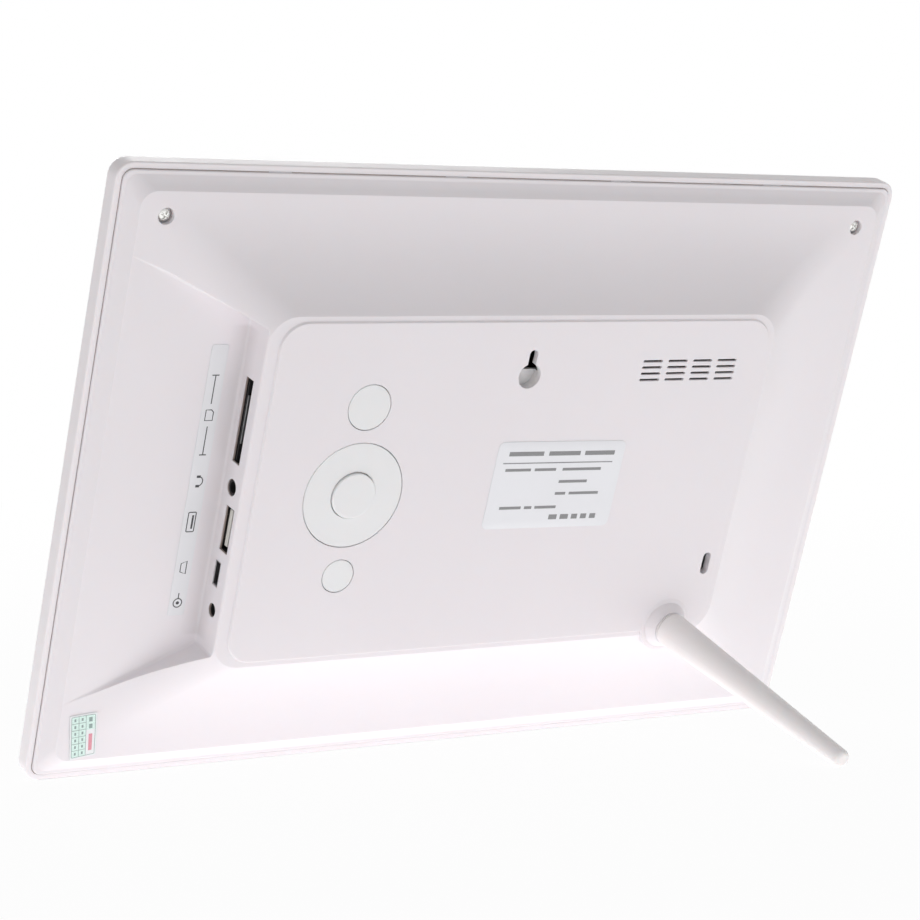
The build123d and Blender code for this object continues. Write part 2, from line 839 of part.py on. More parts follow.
# Buttons: caps flush with the platform, the middle one raised; a stem and a plunger that enters its switch
def switch_bodies():
    out = []
    for x, z in switch_places + nav_places:
        body = chip(x, z, switch_w, switch_w, switch_h)
        well = rod(x, z, plunger_r + plunger_gap, board_y + switch_well, board_y + switch_h + over)
        out.append(body - well)
    return out


def plunger(x, z):
    return rod(x, z, plunger_r, plunger_end_y, stem_end_y)


def button_cap(z, r, top_y, edge):
    round_off = 0.3 * edge
    outline = [(0, cap_low), (r, cap_low), (r, top_y - edge), (r - round_off, top_y - round_off)]
    return turned(button_x, z, outline + [(r - edge, top_y), (0, top_y)])


def push_button(z, r):
    flange_high = inner_y - button_gap
    flange_low = flange_high - flange_t
    skirt = tube(button_x, z, r, r - skirt_t, flange_low, cap_low + sink)
    flange = tube(button_x, z, r + flange_over, r - skirt_t, flange_low, flange_high)
    stem = rod(button_x, z, stem_r, stem_end_y, cap_low + sink)
    return button_cap(z, r, platform_y, cap_edge) + skirt + flange + stem


def ok_button():
    stem = rod(button_x, nav_z, post_in_r - ok_stem_gap, stem_end_y + ok_stem_gap, cap_low + sink)
    tip = rod(button_x, nav_z, stem_r, stem_end_y, stem_end_y + ok_stem_gap + sink)
    return button_cap(nav_z, ok_r, platform_y + ok_rise, ok_edge) + stem + tip


def nav_ring():
    inside = ok_r + button_gap
    face = [(inside + ring_edge, platform_y), (inside, platform_y - ring_edge), (inside, cap_low)]
    face += [(ring_r, cap_low), (ring_r, platform_y - cap_edge), (ring_r - cap_edge, platform_y)]
    body = turned(button_x, nav_z, face)
    root = cap_low + sink
    flange_top = ring_flange_y + flange_t
    body = body + tube(button_x, nav_z, hub_out_r, hub_in_r, pivot_y - hub_half, root)
    body = body + tube(button_x, nav_z, ring_r, ring_r - ring_wall, ring_flange_y, root)
    body = body + tube(button_x, nav_z, ring_flange_r, ring_r - ring_wall, ring_flange_y, flange_top)
    for x, z in nav_places:
        body = body + rod(x, z, nav_stem_r, stem_end_y, root)
    reach = hub_out_r + over
    return body - rod_z(button_x, pivot_y, trunnion_r + trunnion_fit, nav_z - reach, nav_z + reach)


def nav_gimbal():
    body = tube(button_x, nav_z, gimbal_out_r, gimbal_in_r, pivot_y - gimbal_half, pivot_y + gimbal_half)
    inner = post_in_r + trunnion_short
    outer = hub_out_r - trunnion_short
    for side in (-1, 1):
        x0, x1 = sorted((button_x + side * inner, button_x + side * (gimbal_in_r + sink)))
        body = body + rod_x(pivot_y, nav_z, trunnion_r, x0, x1)
        z0, z1 = sorted((nav_z + side * (gimbal_out_r - sink), nav_z + side * outer))
        body = body + rod_z(button_x, pivot_y, trunnion_r, z0, z1)
    return body


def nav_post():
    body = tube(button_x, nav_z, post_out_r, post_in_r, board_y, pivot_y + hub_half)
    reach = post_out_r + over
    return body - rod_x(pivot_y, nav_z, trunnion_r + trunnion_fit, button_x - reach, button_x + reach)


# Speaker behind the grille
def track(w, h, y0, y1):
    return raise_outline(Pos(grille_x, grille_z) * SlotOverall(w, h), y0, y1)


def grille_cloth():
    return track(speaker_w, speaker_h, grille_y - cloth_t, grille_y)


def speaker_bore(trim, y0, y1):
    return track(speaker_w - 2 * trim, speaker_h - 2 * trim, y0, y1)


def speaker_gasket():
    ring = track(speaker_w, speaker_h, speaker_y, speaker_y + gasket_t)
    return ring - speaker_bore(speaker_rim, speaker_y - over, speaker_y + gasket_t + over)


def speaker_basket():
    low = speaker_y - basket_t
    cup = track(speaker_w, speaker_h, low, speaker_y)
    return cup - speaker_bore(speaker_rim, low + basket_wall, speaker_y + over)


def speaker_cone():
    trim = 2 * (speaker_rim + cone_gap)
    centre = Pos(grille_x, grille_z)
    rim = plan(speaker_y) * (centre * SlotOverall(speaker_w - trim, speaker_h - trim))
    neck = plan(speaker_y - basket_t + basket_wall) * (centre * SlotOverall(*cone_neck))
    return loft([neck, rim], ruled=True)


def speaker_magnet():
    low = speaker_y - basket_t
    return rod(grille_x, grille_z, magnet_r, low - magnet_t, low)


def speaker_socket():
    high = speaker_y - board_y - lead_socket_room
    return chip(lead_socket_x, lead_socket_z, lead_socket_w, lead_socket_h, high)


def speaker_leads():
    # Two insulated wires, one above the other, from the end of the basket to the board socket
    start_x = grille_x + speaker_w / 2
    end_x = lead_socket_x - lead_socket_w / 2
    turn_x = start_x + lead_straight
    points = [(start_x, grille_z), (turn_x, grille_z)]
    points += [(turn_x + lead_slant, lead_socket_z), (end_x, lead_socket_z)]
    wires = []
    for level in (speaker_y - basket_t + lead_r + lead_low, speaker_y - lead_r - lead_high):
        path = plan(level) * FilletPolyline(*points, radius=lead_bend)
        ring = Plane(origin=path @ 0, z_dir=path % 0) * Circle(lead_r)
        wires.append(sweep(ring, path=path))
    return wires


# Stand leg and its thread
def leg_insert():
    return tube(leg_x, leg_z, insert_r, stud_r + stud_fit, insert_end_y, boss_top_y - insert_sunk)


def leg_stud():
    return rod(leg_x, leg_z, stud_r, stud_end_y, leg_root_y + stud_in_leg)


def leg_washer():
    low = boss_top_y + washer_gap
    return tube(leg_x, leg_z, leg_root_r - washer_inset, stud_r + stud_fit, low, low + washer_t)


def stand_leg():
    # Slim cone with a rounded root edge and a flat tip, rounded at its edge
    outline = [(0, leg_root_y), (leg_root_r - leg_root_round, leg_root_y)]
    outline += [(leg_root_r, leg_root_y + leg_root_round)]
    lean_in = math.asin((leg_root_r - leg_tip_r) / (leg_tip_y - leg_root_y))
    steps = 8
    for i in range(steps + 1):
        turn = lean_in + (math.pi / 2 - lean_in) * i / steps
        r = leg_flat_r + leg_tip_round * math.cos(turn)
        outline.append((r, leg_tip_y + leg_tip_round * math.sin(turn)))
    outline.append((0, leg_end_y))
    bore = rod(leg_x, leg_z, stud_r, leg_root_y - over, leg_root_y + stud_in_leg)
    return turned(leg_x, leg_z, outline) - bore


nodes = {
    "front_bezel": front_bezel(),
    "rear_cover": rear_cover(),
    "case_screws": case_screws(),
    "lcd_cell": screen_layer(cell_gap, screen_y, cell_t),
    "optical_films": screen_layer(film_gap, film_y, film_t),
    "light_guide": light_guide(),
    "led_bar": led_bar(),
    "reflector_sheet": screen_layer(film_gap, sheet_y, sheet_t),
    "backlight_tray": backlight_tray(),
    "lcd_driver_board": driver_board(),
    "lcd_ribbon": lcd_ribbon(),
    "ribbon_socket": ribbon_socket(),
    "lcd_brackets": brackets(),
    "bracket_screws": bracket_screws(),
    "main_board": main_board(),
    "board_screws": board_screws(),
    "processor": board_part(*processor_at),
    "memory_chips": [board_part(*place) for place in memory_at],
    "power_inductors": [board_part(*place) for place in inductor_at],
    "capacitors": capacitors(),
    "crystal": board_part(*crystal_at),
    "card_socket_base": card_socket_base(),
    "card_socket_shell": card_socket_shell(),
    "audio_jack": audio_jack(),
    "host_port_shell": port_shell(host_z, host_y, host_len, host_mouth, host_depth, port_x),
    "host_port_tongue": host_tongue(),
    "mini_port_shell": mini_shell(),
    "mini_port_tongue": mini_tongue(),
    "dc_jack": dc_jack(),
    "dc_pin": dc_pin(),
    "switch_bodies": switch_bodies(),
    "power_plunger": plunger(button_x, power_z),
    "ok_plunger": plunger(button_x, nav_z),
    "menu_plunger": plunger(button_x, menu_z),
    "nav_plungers": [plunger(x, z) for x, z in nav_places],
    "power_button": push_button(power_z, power_r),
    "menu_button": push_button(menu_z, menu_r),
    "ok_button": ok_button(),
    "nav_ring": nav_ring(),
    "nav_gimbal": nav_gimbal(),
    "nav_post": nav_post(),
    "grille_cloth": grille_cloth(),
    "speaker_gasket": speaker_gasket(),
    "speaker_basket": speaker_basket(),
    "speaker_cone": speaker_cone(),
    "speaker_magnet": speaker_magnet(),
    "speaker_socket": speaker_socket(),
    "speaker_leads": speaker_leads(),
    "stand_leg": stand_leg(),
    "leg_stud": leg_stud(),
    "leg_washer": leg_washer(),
    "leg_insert": leg_insert(),
}

# Lean: the floor touches the bezel's rounded rear lower edge and the rounded edge of the leg's tip
edge_y = -rear_round
edge_z = -bezel_h / 2 + rear_round
tip_z = leg_z - leg_flat_r
span = math.hypot(leg_tip_y - edge_y, tip_z - edge_z)
rise = math.atan2(tip_z - edge_z, leg_tip_y - edge_y)
lean = math.degrees(rise - math.asin((leg_tip_round - rear_round) / span))

leaned = {}
for name, solids in nodes.items():
    if not isinstance(solids, list):
        solids = [solids]
    leaned[name] = Compound(children=[Rot(-lean, 0, 0) * s for s in solids])

# Set on the floor with the origin under the middle of the bounding box
boxes = [shape.bounding_box() for shape in leaned.values()]
low_y = min(box.min.Y for box in boxes)
high_y = max(box.max.Y for box in boxes)
low_z = min(box.min.Z for box in boxes)
shift = Pos(0, -(low_y + high_y) / 2, -low_z)
print("lean", round(lean, 6), "shift", round(-(low_y + high_y) / 2, 6), round(-low_z, 6))

os.makedirs("parts", exist_ok=True)
for name, shape in leaned.items():
    export_step(shift * shape, "parts/" + name + ".step")
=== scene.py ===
import json
import math

import bmesh
import bpy
import numpy as np
from mathutils import Matrix, Vector


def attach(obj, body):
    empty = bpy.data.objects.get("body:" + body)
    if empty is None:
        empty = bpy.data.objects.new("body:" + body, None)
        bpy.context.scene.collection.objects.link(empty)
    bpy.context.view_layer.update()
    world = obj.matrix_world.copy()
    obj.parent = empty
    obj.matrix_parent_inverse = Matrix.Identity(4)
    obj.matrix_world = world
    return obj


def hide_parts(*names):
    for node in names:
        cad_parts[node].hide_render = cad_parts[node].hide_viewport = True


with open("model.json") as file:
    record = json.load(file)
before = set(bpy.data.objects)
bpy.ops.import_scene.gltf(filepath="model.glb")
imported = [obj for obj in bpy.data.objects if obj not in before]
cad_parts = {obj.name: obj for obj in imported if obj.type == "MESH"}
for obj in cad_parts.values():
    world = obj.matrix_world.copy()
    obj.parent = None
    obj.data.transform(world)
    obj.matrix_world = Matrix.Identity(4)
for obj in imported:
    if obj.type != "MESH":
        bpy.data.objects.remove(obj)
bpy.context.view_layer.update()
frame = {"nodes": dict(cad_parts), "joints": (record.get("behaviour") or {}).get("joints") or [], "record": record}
nodes = frame["nodes"]

# Panel axes in mm: x to the right from the front, y out of the back, z up the panel
casePlan = {
    "ringX": 53.0,          # the four-way ring's pivot
    "pivotY": 10.2,
    "ringZ": -0.65,
    "coverWidth": 268.0,
    "coverHeight": 181.5,
    "rimRun": 5.0,          # flat and cove of the rear cover's rim
    "flatR": 5.0,
    "flatY": 3.0,
    "ledgeWidth": 179.0,
    "ledgeHeight": 107.8,
    "ledgeR": 9.0,
    "ledgeY": 13.9,
    "platformY": 14.5,
    "recessFloorY": 2.95,
    "portX": 88.5,          # where the sockets' mouths stand behind the recess wall
    "portWallX": 89.5,
    "portWallZ": 50.0,
    "keyholeZ": 35.2,
    "keyholeCupR": 5.0,
}


def panelAxes(joints):
    # The press axis points into the case, up is right x back, and the ring's pivot fixes the origin
    byName = {joint["name"]: joint for joint in joints}
    back = -np.array(byName["power_press"]["axis"])
    right = np.array([1.0, 0.0, 0.0])
    up = np.cross(right, back)
    pivot = np.array(byName["nav_tilt_up_down"]["pos_m"])
    offset = casePlan["ringX"] * right + casePlan["pivotY"] * back + casePlan["ringZ"] * up
    origin = pivot - offset / 1000
    return origin, np.stack([right, back, up])


panelOrigin, panelTurn = panelAxes(frame["joints"])


def toRow(points):
    # Panel millimetres times the three axes, plus the origin, in metres
    return panelOrigin + np.asarray(points, float) @ panelTurn / 1000


# Mesh tools

weldGap, thinEdge = 5e-7, 1e-8      # metres: points welded, edges dissolved


def gridQuads(rows, cols, wrapCols=False):
    # Each point with its neighbour in the next column and the next row
    i, j = np.meshgrid(np.arange(rows - 1), np.arange(cols if wrapCols else cols - 1), indexing="ij")
    k = (j + 1) % cols
    here, below = i * cols, (i + 1) * cols
    return np.stack([here + j, here + k, below + k, below + j], -1).reshape(-1, 4)


def gridShell(points, uv=None, wrapCols=False):
    # One grid of points (rows, cols, 3) as points, quads and map
    rows, cols = points.shape[:2]
    flat = points.reshape(-1, 3)
    uv = flat[:, [0, 2]] if uv is None else uv.reshape(-1, 2)
    return flat, gridQuads(rows, cols, wrapCols), uv


def makePiece(name, shells, material, body, sharp=35):
    # Stacks the shells into one mesh in the row frame, closes seams and poles, turns faces outwards
    counts = np.cumsum([0] + [len(shell[0]) for shell in shells])
    points = toRow(np.concatenate([shell[0] for shell in shells]))
    quads = np.concatenate([shell[1] + start for shell, start in zip(shells, counts)])
    uv = np.concatenate([shell[2] for shell in shells])
    mesh = bpy.data.meshes.new(name)
    mesh.vertices.add(len(points))
    mesh.vertices.foreach_set("co", points.astype(np.float32).ravel())
    mesh.loops.add(quads.size)
    mesh.loops.foreach_set("vertex_index", quads.astype(np.int32).ravel())
    mesh.polygons.add(len(quads))
    mesh.polygons.foreach_set("loop_start", np.arange(0, quads.size, 4, dtype=np.int32))
    mesh.update(calc_edges=True)
    mapLayer = mesh.uv_layers.new(name="panelMap")
    mapLayer.data.foreach_set("uv", uv[quads.ravel()].astype(np.float32).ravel())
    bm = bmesh.new()
    bm.from_mesh(mesh)
    bmesh.ops.remove_doubles(bm, verts=bm.verts, dist=weldGap)
    bmesh.ops.dissolve_degenerate(bm, edges=bm.edges, dist=thinEdge)
    bmesh.ops.recalc_face_normals(bm, faces=bm.faces)
    bm.to_mesh(mesh)
    bm.free()
    mesh.shade_smooth()
    mesh.set_sharp_from_angle(angle=math.radians(sharp))
    piece = bpy.data.objects.new(name, mesh)
    bpy.context.scene.collection.objects.link(piece)
    mesh.materials.append(material)
    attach(piece, body)
    return piece


# Shapes on the back, drawn as seen from behind: u to the right, v up, h out of the surface

halvings = 24


def onLevel(level):
    return lambda x, z: np.full_like(x, level)


def onCover(x, z):
    # Halving finds the ramp section whose rounded outline passes the point;
    # its level is on the ramp's arc
    plan = casePlan
    edgeX, edgeZ = plan["coverWidth"] / 2 - plan["rimRun"], plan["coverHeight"] / 2 - plan["rimRun"]
    low, high = np.zeros_like(x), np.ones_like(x)
    for _ in range(halvings):
        share = (low + high) / 2
        r = plan["flatR"] + (plan["ledgeR"] - plan["flatR"]) * share
        overX = np.abs(x) - edgeX - (plan["ledgeWidth"] / 2 - edgeX) * share + r
        overZ = np.abs(z) - edgeZ - (plan["ledgeHeight"] / 2 - edgeZ) * share + r
        corner = np.hypot(np.maximum(overX, 0), np.maximum(overZ, 0))
        reach = corner + np.minimum(np.maximum(overX, overZ), 0)
        low, high = np.where(reach < r, share, low), np.where(reach < r, high, share)
    run, rise = edgeZ - plan["ledgeHeight"] / 2, plan["ledgeY"] - plan["flatY"]
    radius = (run * run + rise * rise) / (2 * rise)
    return plan["flatY"] + radius - np.sqrt(radius * radius - (low * run) ** 2)


def seat(u, v, h, place):
    # Turns (u, v) by the place's angle about its centre and lifts it by h off the surface there
    turn = math.radians(place["turn"])
    x = place["x"] - (u * math.cos(turn) - v * math.sin(turn))
    z = place["z"] + u * math.sin(turn) + v * math.cos(turn)
    return np.stack([x, place["surface"](x, z) + h, z], -1)


def roundRect(width, height, radius, steps=8):
    # Four quarter arcs, each about its own corner centre, joined by the straight sides
    quarter = np.arange(4)[:, None] * math.pi / 2
    angle = quarter + np.linspace(0, math.pi / 2, steps)
    cu = (width / 2 - radius) * np.sign(np.cos(quarter + math.pi / 4))
    cv = (height / 2 - radius) * np.sign(np.sin(quarter + math.pi / 4))
    return np.stack([cu + radius * np.cos(angle), cv + radius * np.sin(angle)], -1).reshape(-1, 2)


def evenly(path, count):
    # Points at even steps along the closed path's length
    loop = np.concatenate([path, path[:1]])
    run = np.concatenate([[0.0], np.cumsum(np.hypot(*np.diff(loop, axis=0).T))])
    at = np.linspace(0, run[-1], count, endpoint=False)
    return np.stack([np.interp(at, run, loop[:, axis]) for axis in (0, 1)], -1)


plateEdge = {"limit": 0.03, "levels": (0.85, 0.5, 0.0)}     # widest share of the plate, steps of its rounding


def plateShell(outline, thick, place, rings=6):
    # The outline shrunk to its centre in rings over a level top, rounded at the edge, closed underneath
    edge = min(thick / np.abs(outline).min(0).max(), plateEdge["limit"])
    rim = [1 - edge / 3, 1, 1]
    share = np.concatenate([np.linspace(0, 1 - edge, rings), rim, np.linspace(1, 0, rings)[1:]])
    height = np.concatenate([np.ones(rings), plateEdge["levels"], np.zeros(rings - 1)]) * thick
    u = share[:, None] * outline[None, :, 0]
    v = share[:, None] * outline[None, :, 1]
    points = seat(u, v, np.repeat(height[:, None], len(outline), 1), place)
    return gridShell(points, np.stack([u, v], -1), wrapCols=True)


def bandShell(path, width, thick, lift, place, closed=False):
    # A flat band of ink: the path moved half the width to each side along its normal, with closed ends
    path = np.asarray(path, float)
    if closed:
        tangent = np.roll(path, -1, 0) - np.roll(path, 1, 0)
    else:
        tangent = np.gradient(path, axis=0)
    tangent /= np.linalg.norm(tangent, axis=1, keepdims=True)
    side = np.stack([-tangent[:, 1], tangent[:, 0]], -1) * width / 2
    across = np.array([-1.0, -1.0, 1.0, 1.0])
    height = lift + np.array([0.0, thick, thick, 0.0])
    line = path[:, None, :] + side[:, None, :] * across[None, :, None]
    high = np.repeat(height[None, :], len(path), 0)
    if closed:
        line = np.concatenate([line, line[:1]])
        high = np.concatenate([high, high[:1]])
    else:
        ends = [np.repeat(line[i].mean(0)[None, None], 4, 1) for i in (0, -1)]
        line = np.concatenate([ends[0], line, ends[1]])
        middle = np.full((1, 4), lift + thick / 2)
        high = np.concatenate([middle, high, middle])
    points = seat(line[..., 0], line[..., 1], high, place)
    return gridShell(points, line, wrapCols=True)


def bar(u0, u1, v, width, thick, lift, place):
    return bandShell([(u0, v), ((u0 + u1) / 2, v), (u1, v)], width, thick, lift, place)


# Shader tools

def put(tree, kind, inputs=None, **settings):
    # Adds a node; an input given as a socket is linked, any other value is set on it
    node = tree.nodes.new(kind)
    for key, value in settings.items():
        setattr(node, key, value)
    for key, value in (inputs or {}).items():
        if isinstance(value, bpy.types.NodeSocket):
            tree.links.new(value, node.inputs[key])
        else:
            node.inputs[key].default_value = value
    return node


def calc(tree, operation, *values):
    return put(tree, "ShaderNodeMath", dict(enumerate(values)), operation=operation).outputs[0]


def blend(tree, share, first, second):
    # Mixes two colours by a share; the colour sockets of the mix node are 6 and 7
    node = put(tree, "ShaderNodeMix", data_type="RGBA")
    for index, value in ((0, share), (6, first), (7, second)):
        if isinstance(value, bpy.types.NodeSocket):
            tree.links.new(value, node.inputs[index])
        else:
            node.inputs[index].default_value = value
    return node.outputs[2]


def noise(tree, vector, scale, detail=2.0, rough=0.5):
    inputs = {"Vector": vector, "Scale": scale, "Detail": detail, "Roughness": rough}
    return put(tree, "ShaderNodeTexNoise", inputs).outputs[0]


def ramp(tree, value, low, high, outLow=0.0, outHigh=1.0):
    inputs = {"Value": value, 1: low, 2: high, 3: outLow, 4: outHigh}
    return put(tree, "ShaderNodeMapRange", inputs).outputs[0]


def newGroup(name, inputs, outputs):
    # An empty shader group with named sockets: (name, kind, start value)
    group = bpy.data.node_groups.new(name, "ShaderNodeTree")
    for label, kind, start in inputs:
        socket = group.interface.new_socket(label, in_out="INPUT", socket_type=kind)
        if start is not None:
            socket.default_value = start
    for label, kind in outputs:
        group.interface.new_socket(label, in_out="OUTPUT", socket_type=kind)
    return group, put(group, "NodeGroupInput").outputs, put(group, "NodeGroupOutput")


floatKind, vectorKind = "NodeSocketFloat", "NodeSocketVector"


def mouldedGrainGroup():
    # Fine spark texture of a moulding tool plus slow flow mottling
    group, given, out = newGroup(
        "mouldedGrain",
        [("Vector", vectorKind, None), ("Fine", floatKind, 1500.0), ("Flow", floatKind, 16.0)],
        [("Height", floatKind), ("Mottle", floatKind)],
    )
    mix = {"coarser": 0.22, "fine": 0.7, "coarse": 0.3, "flow": (0.3, 0.7)}
    fine = noise(group, given["Vector"], given["Fine"], 3.0, 0.6)
    coarse = noise(group, given["Vector"], calc(group, "MULTIPLY", given["Fine"], mix["coarser"]))
    fine = calc(group, "MULTIPLY", fine, mix["fine"])
    height = calc(group, "ADD", fine, calc(group, "MULTIPLY", coarse, mix["coarse"]))
    flow = noise(group, given["Vector"], given["Flow"], 3.0)
    group.links.new(height, out.inputs["Height"])
    group.links.new(ramp(group, flow, *mix["flow"]), out.inputs["Mottle"])
    return group


def handMarksGroup():
    # Smears left by handling: noise broken up by a second, larger one
    group, given, out = newGroup(
        "handMarks",
        [("Vector", vectorKind, None), ("Size", floatKind, 60.0)],
        [("Mask", floatKind)],
    )
    mix = {"larger": 0.3, "smear": (0.42, 0.72), "patch": (0.4, 0.65)}
    smear = noise(group, given["Vector"], given["Size"], 4.0, 0.65)
    patch = noise(group, given["Vector"], calc(group, "MULTIPLY", given["Size"], mix["larger"]))
    mask = calc(group, "MULTIPLY", ramp(group, smear, *mix["smear"]), ramp(group, patch, *mix["patch"]))
    group.links.new(mask, out.inputs["Mask"])
    return group


def settledDustGroup():
    # Dust lies where a face looks up, in patches
    group, given, out = newGroup(
        "settledDust",
        [("Vector", vectorKind, None), ("Amount", floatKind, 0.1)],
        [("Mask", floatKind)],
    )
    mix = {"upward": (0.15, 0.95), "size": 220.0, "patch": (0.35, 0.75)}
    normal = put(group, "ShaderNodeNewGeometry").outputs["Normal"]
    upward = put(group, "ShaderNodeSeparateXYZ", {0: normal}).outputs[2]
    lie = ramp(group, upward, *mix["upward"])
    patch = ramp(group, noise(group, given["Vector"], mix["size"], 5.0, 0.7), *mix["patch"])
    mask = calc(group, "MULTIPLY", calc(group, "MULTIPLY", lie, patch), given["Amount"])
    group.links.new(mask, out.inputs["Mask"])
    return group


def brushedGroup():
    # Drawn streaks along x: noise stretched fiftyfold
    group, given, out = newGroup(
        "brushedStreaks",
        [("Vector", vectorKind, None), ("Fine", floatKind, 900.0)],
        [("Streak", floatKind)],
    )
    mix = {"stretch": (0.02, 1.0, 1.0), "streak": (0.3, 0.7)}
    inputs = {"Vector": given["Vector"], "Scale": mix["stretch"]}
    stretched = put(group, "ShaderNodeMapping", inputs).outputs[0]
    streak = noise(group, stretched, given["Fine"], 3.0, 0.6)
    group.links.new(ramp(group, streak, *mix["streak"]), out.inputs["Streak"])
    return group


def edgeLineGroup():
    # How far the rounded normal leans from the face's own normal marks an edge
    group, given, out = newGroup(
        "edgeLine",
        [("Rounded", vectorKind, None), ("Reach", floatKind, 0.25)],
        [("Mask", floatKind)],
    )
    normal = put(group, "ShaderNodeNewGeometry").outputs["Normal"]
    inputs = {0: given["Rounded"], 1: normal}
    dot = put(group, "ShaderNodeVectorMath", inputs, operation="DOT_PRODUCT").outputs["Value"]
    lean = calc(group, "SUBTRACT", 1.0, dot)
    node = put(group, "ShaderNodeMapRange", {"Value": lean, 1: 0.0, 2: given["Reach"]})
    group.links.new(node.outputs[0], out.inputs["Mask"])
    return group


def paintedRecessShadingGroup():
    # Mask, painted shade on the hole walls: faces just behind the port wall's outer face, below the ledge and
    # between the recess ends.
    # Foot, painted shade in the corner: fades with the distance from the corner of wall and recess floor.
    # Cup, painted light in the keyhole bowl: faces below the platform within the keyhole cup's radius
    outputs = [("Mask", floatKind), ("FootShade", floatKind), ("CupLight", floatKind)]
    group, given, out = newGroup("paintedRecessShading", [("Vector", vectorKind, None)], outputs)
    across = put(group, "ShaderNodeSeparateXYZ", {0: given["Vector"]}).outputs[0]

    def along(axis):
        inputs = {0: given["Vector"], 1: tuple(panelTurn[axis])}
        value = put(group, "ShaderNodeVectorMath", inputs, operation="DOT_PRODUCT").outputs["Value"]
        return calc(group, "SUBTRACT", value, float(panelOrigin @ panelTurn[axis]))

    level, rise = along(1), along(2)
    height = calc(group, "ABSOLUTE", rise)

    def upTo(value, edge, back):
        # 1 up to the edge less the first distance, 0 from the edge less the second
        return ramp(group, value, edge - back[0], edge - back[1], 1.0, 0.0)

    # Distances in metres over which each mask fades
    fade = {"wall": (0.0004, 0.0001), "inner": (0.004, 0.003), "top": (0.0016, 0.0012),
            "ends": (0.003, 0.002), "foot": (0.0008, 0.006), "cup": 0.0006, "platform": (0.0009, 0.0004)}
    metres = {key: value / 1000 for key, value in casePlan.items()}
    wallX = metres["portWallX"]
    behind = upTo(across, wallX, fade["wall"])
    inside = ramp(group, across, *(wallX - edge for edge in fade["inner"]))
    under = upTo(level, metres["ledgeY"], fade["top"])
    between = upTo(height, metres["portWallZ"], fade["ends"])
    depth = calc(group, "MULTIPLY", behind, inside)
    mask = calc(group, "MULTIPLY", depth, calc(group, "MULTIPLY", under, between))
    group.links.new(mask, out.inputs["Mask"])
    beside = calc(group, "SUBTRACT", across, wallX)
    above = calc(group, "SUBTRACT", level, metres["recessFloorY"])
    near = calc(group, "ADD", calc(group, "ABSOLUTE", beside), calc(group, "MAXIMUM", above, 0.0))
    foot = calc(group, "MULTIPLY", ramp(group, near, *fade["foot"], 1.0, 0.0), between)
    group.links.new(foot, out.inputs["FootShade"])
    # Painted light in the keyhole bowl: faces below the platform within the cup's radius
    fromCup = calc(group, "SUBTRACT", rise, metres["keyholeZ"])
    squares = [calc(group, "POWER", calc(group, "ABSOLUTE", value), 2.0) for value in (across, fromCup)]
    cupR = metres["keyholeCupR"]
    within = ramp(group, calc(group, "ADD", *squares), cupR ** 2, (cupR + fade["cup"]) ** 2, 1.0, 0.0)
    sunk = upTo(level, metres["platformY"], fade["platform"])
    group.links.new(calc(group, "MULTIPLY", within, sunk), out.inputs["CupLight"])
    return group


effects = {
    "recessShading": paintedRecessShadingGroup(),
    "grain": mouldedGrainGroup(),
    "marks": handMarksGroup(),
    "dust": settledDustGroup(),
    "brushed": brushedGroup(),
    "edge": edgeLineGroup(),
}


def useGroup(tree, name, inputs):
    return put(tree, "ShaderNodeGroup", inputs, node_tree=effects[name]).outputs


def newMaterial(name):
    material = bpy.data.materials.new(name)
    material.use_nodes = True
    tree = material.node_tree
    shader = tree.nodes["Principled BSDF"]
    where = put(tree, "ShaderNodeTexCoord").outputs["Object"]
    return material, tree, shader, where


def rgb(colour, gain=1.0):
    return (colour[0] * gain, colour[1] * gain, colour[2] * gain, 1.0)


def bumpInto(tree, shader, height, strength, distance, normal=None):
    inputs = {"Height": height, "Strength": strength, "Distance": distance}
    if normal is not None:
        inputs["Normal"] = normal
    tree.links.new(put(tree, "ShaderNodeBump", inputs).outputs[0], shader.inputs["Normal"])


# The foot share sets how far the painted shade at the recess wall's foot darkens the case colour
plainPlastic = {"dust": 0.0, "dustColour": (0.74, 0.72, 0.70), "footShare": 0.5, "smearGloss": 0.1,
                "dustRough": 0.3, "bumpDepth": 0.0001}
underSurface = {"radius": (1.0, 0.85, 0.78), "scale": 0.0009}     # light that spreads under the surface


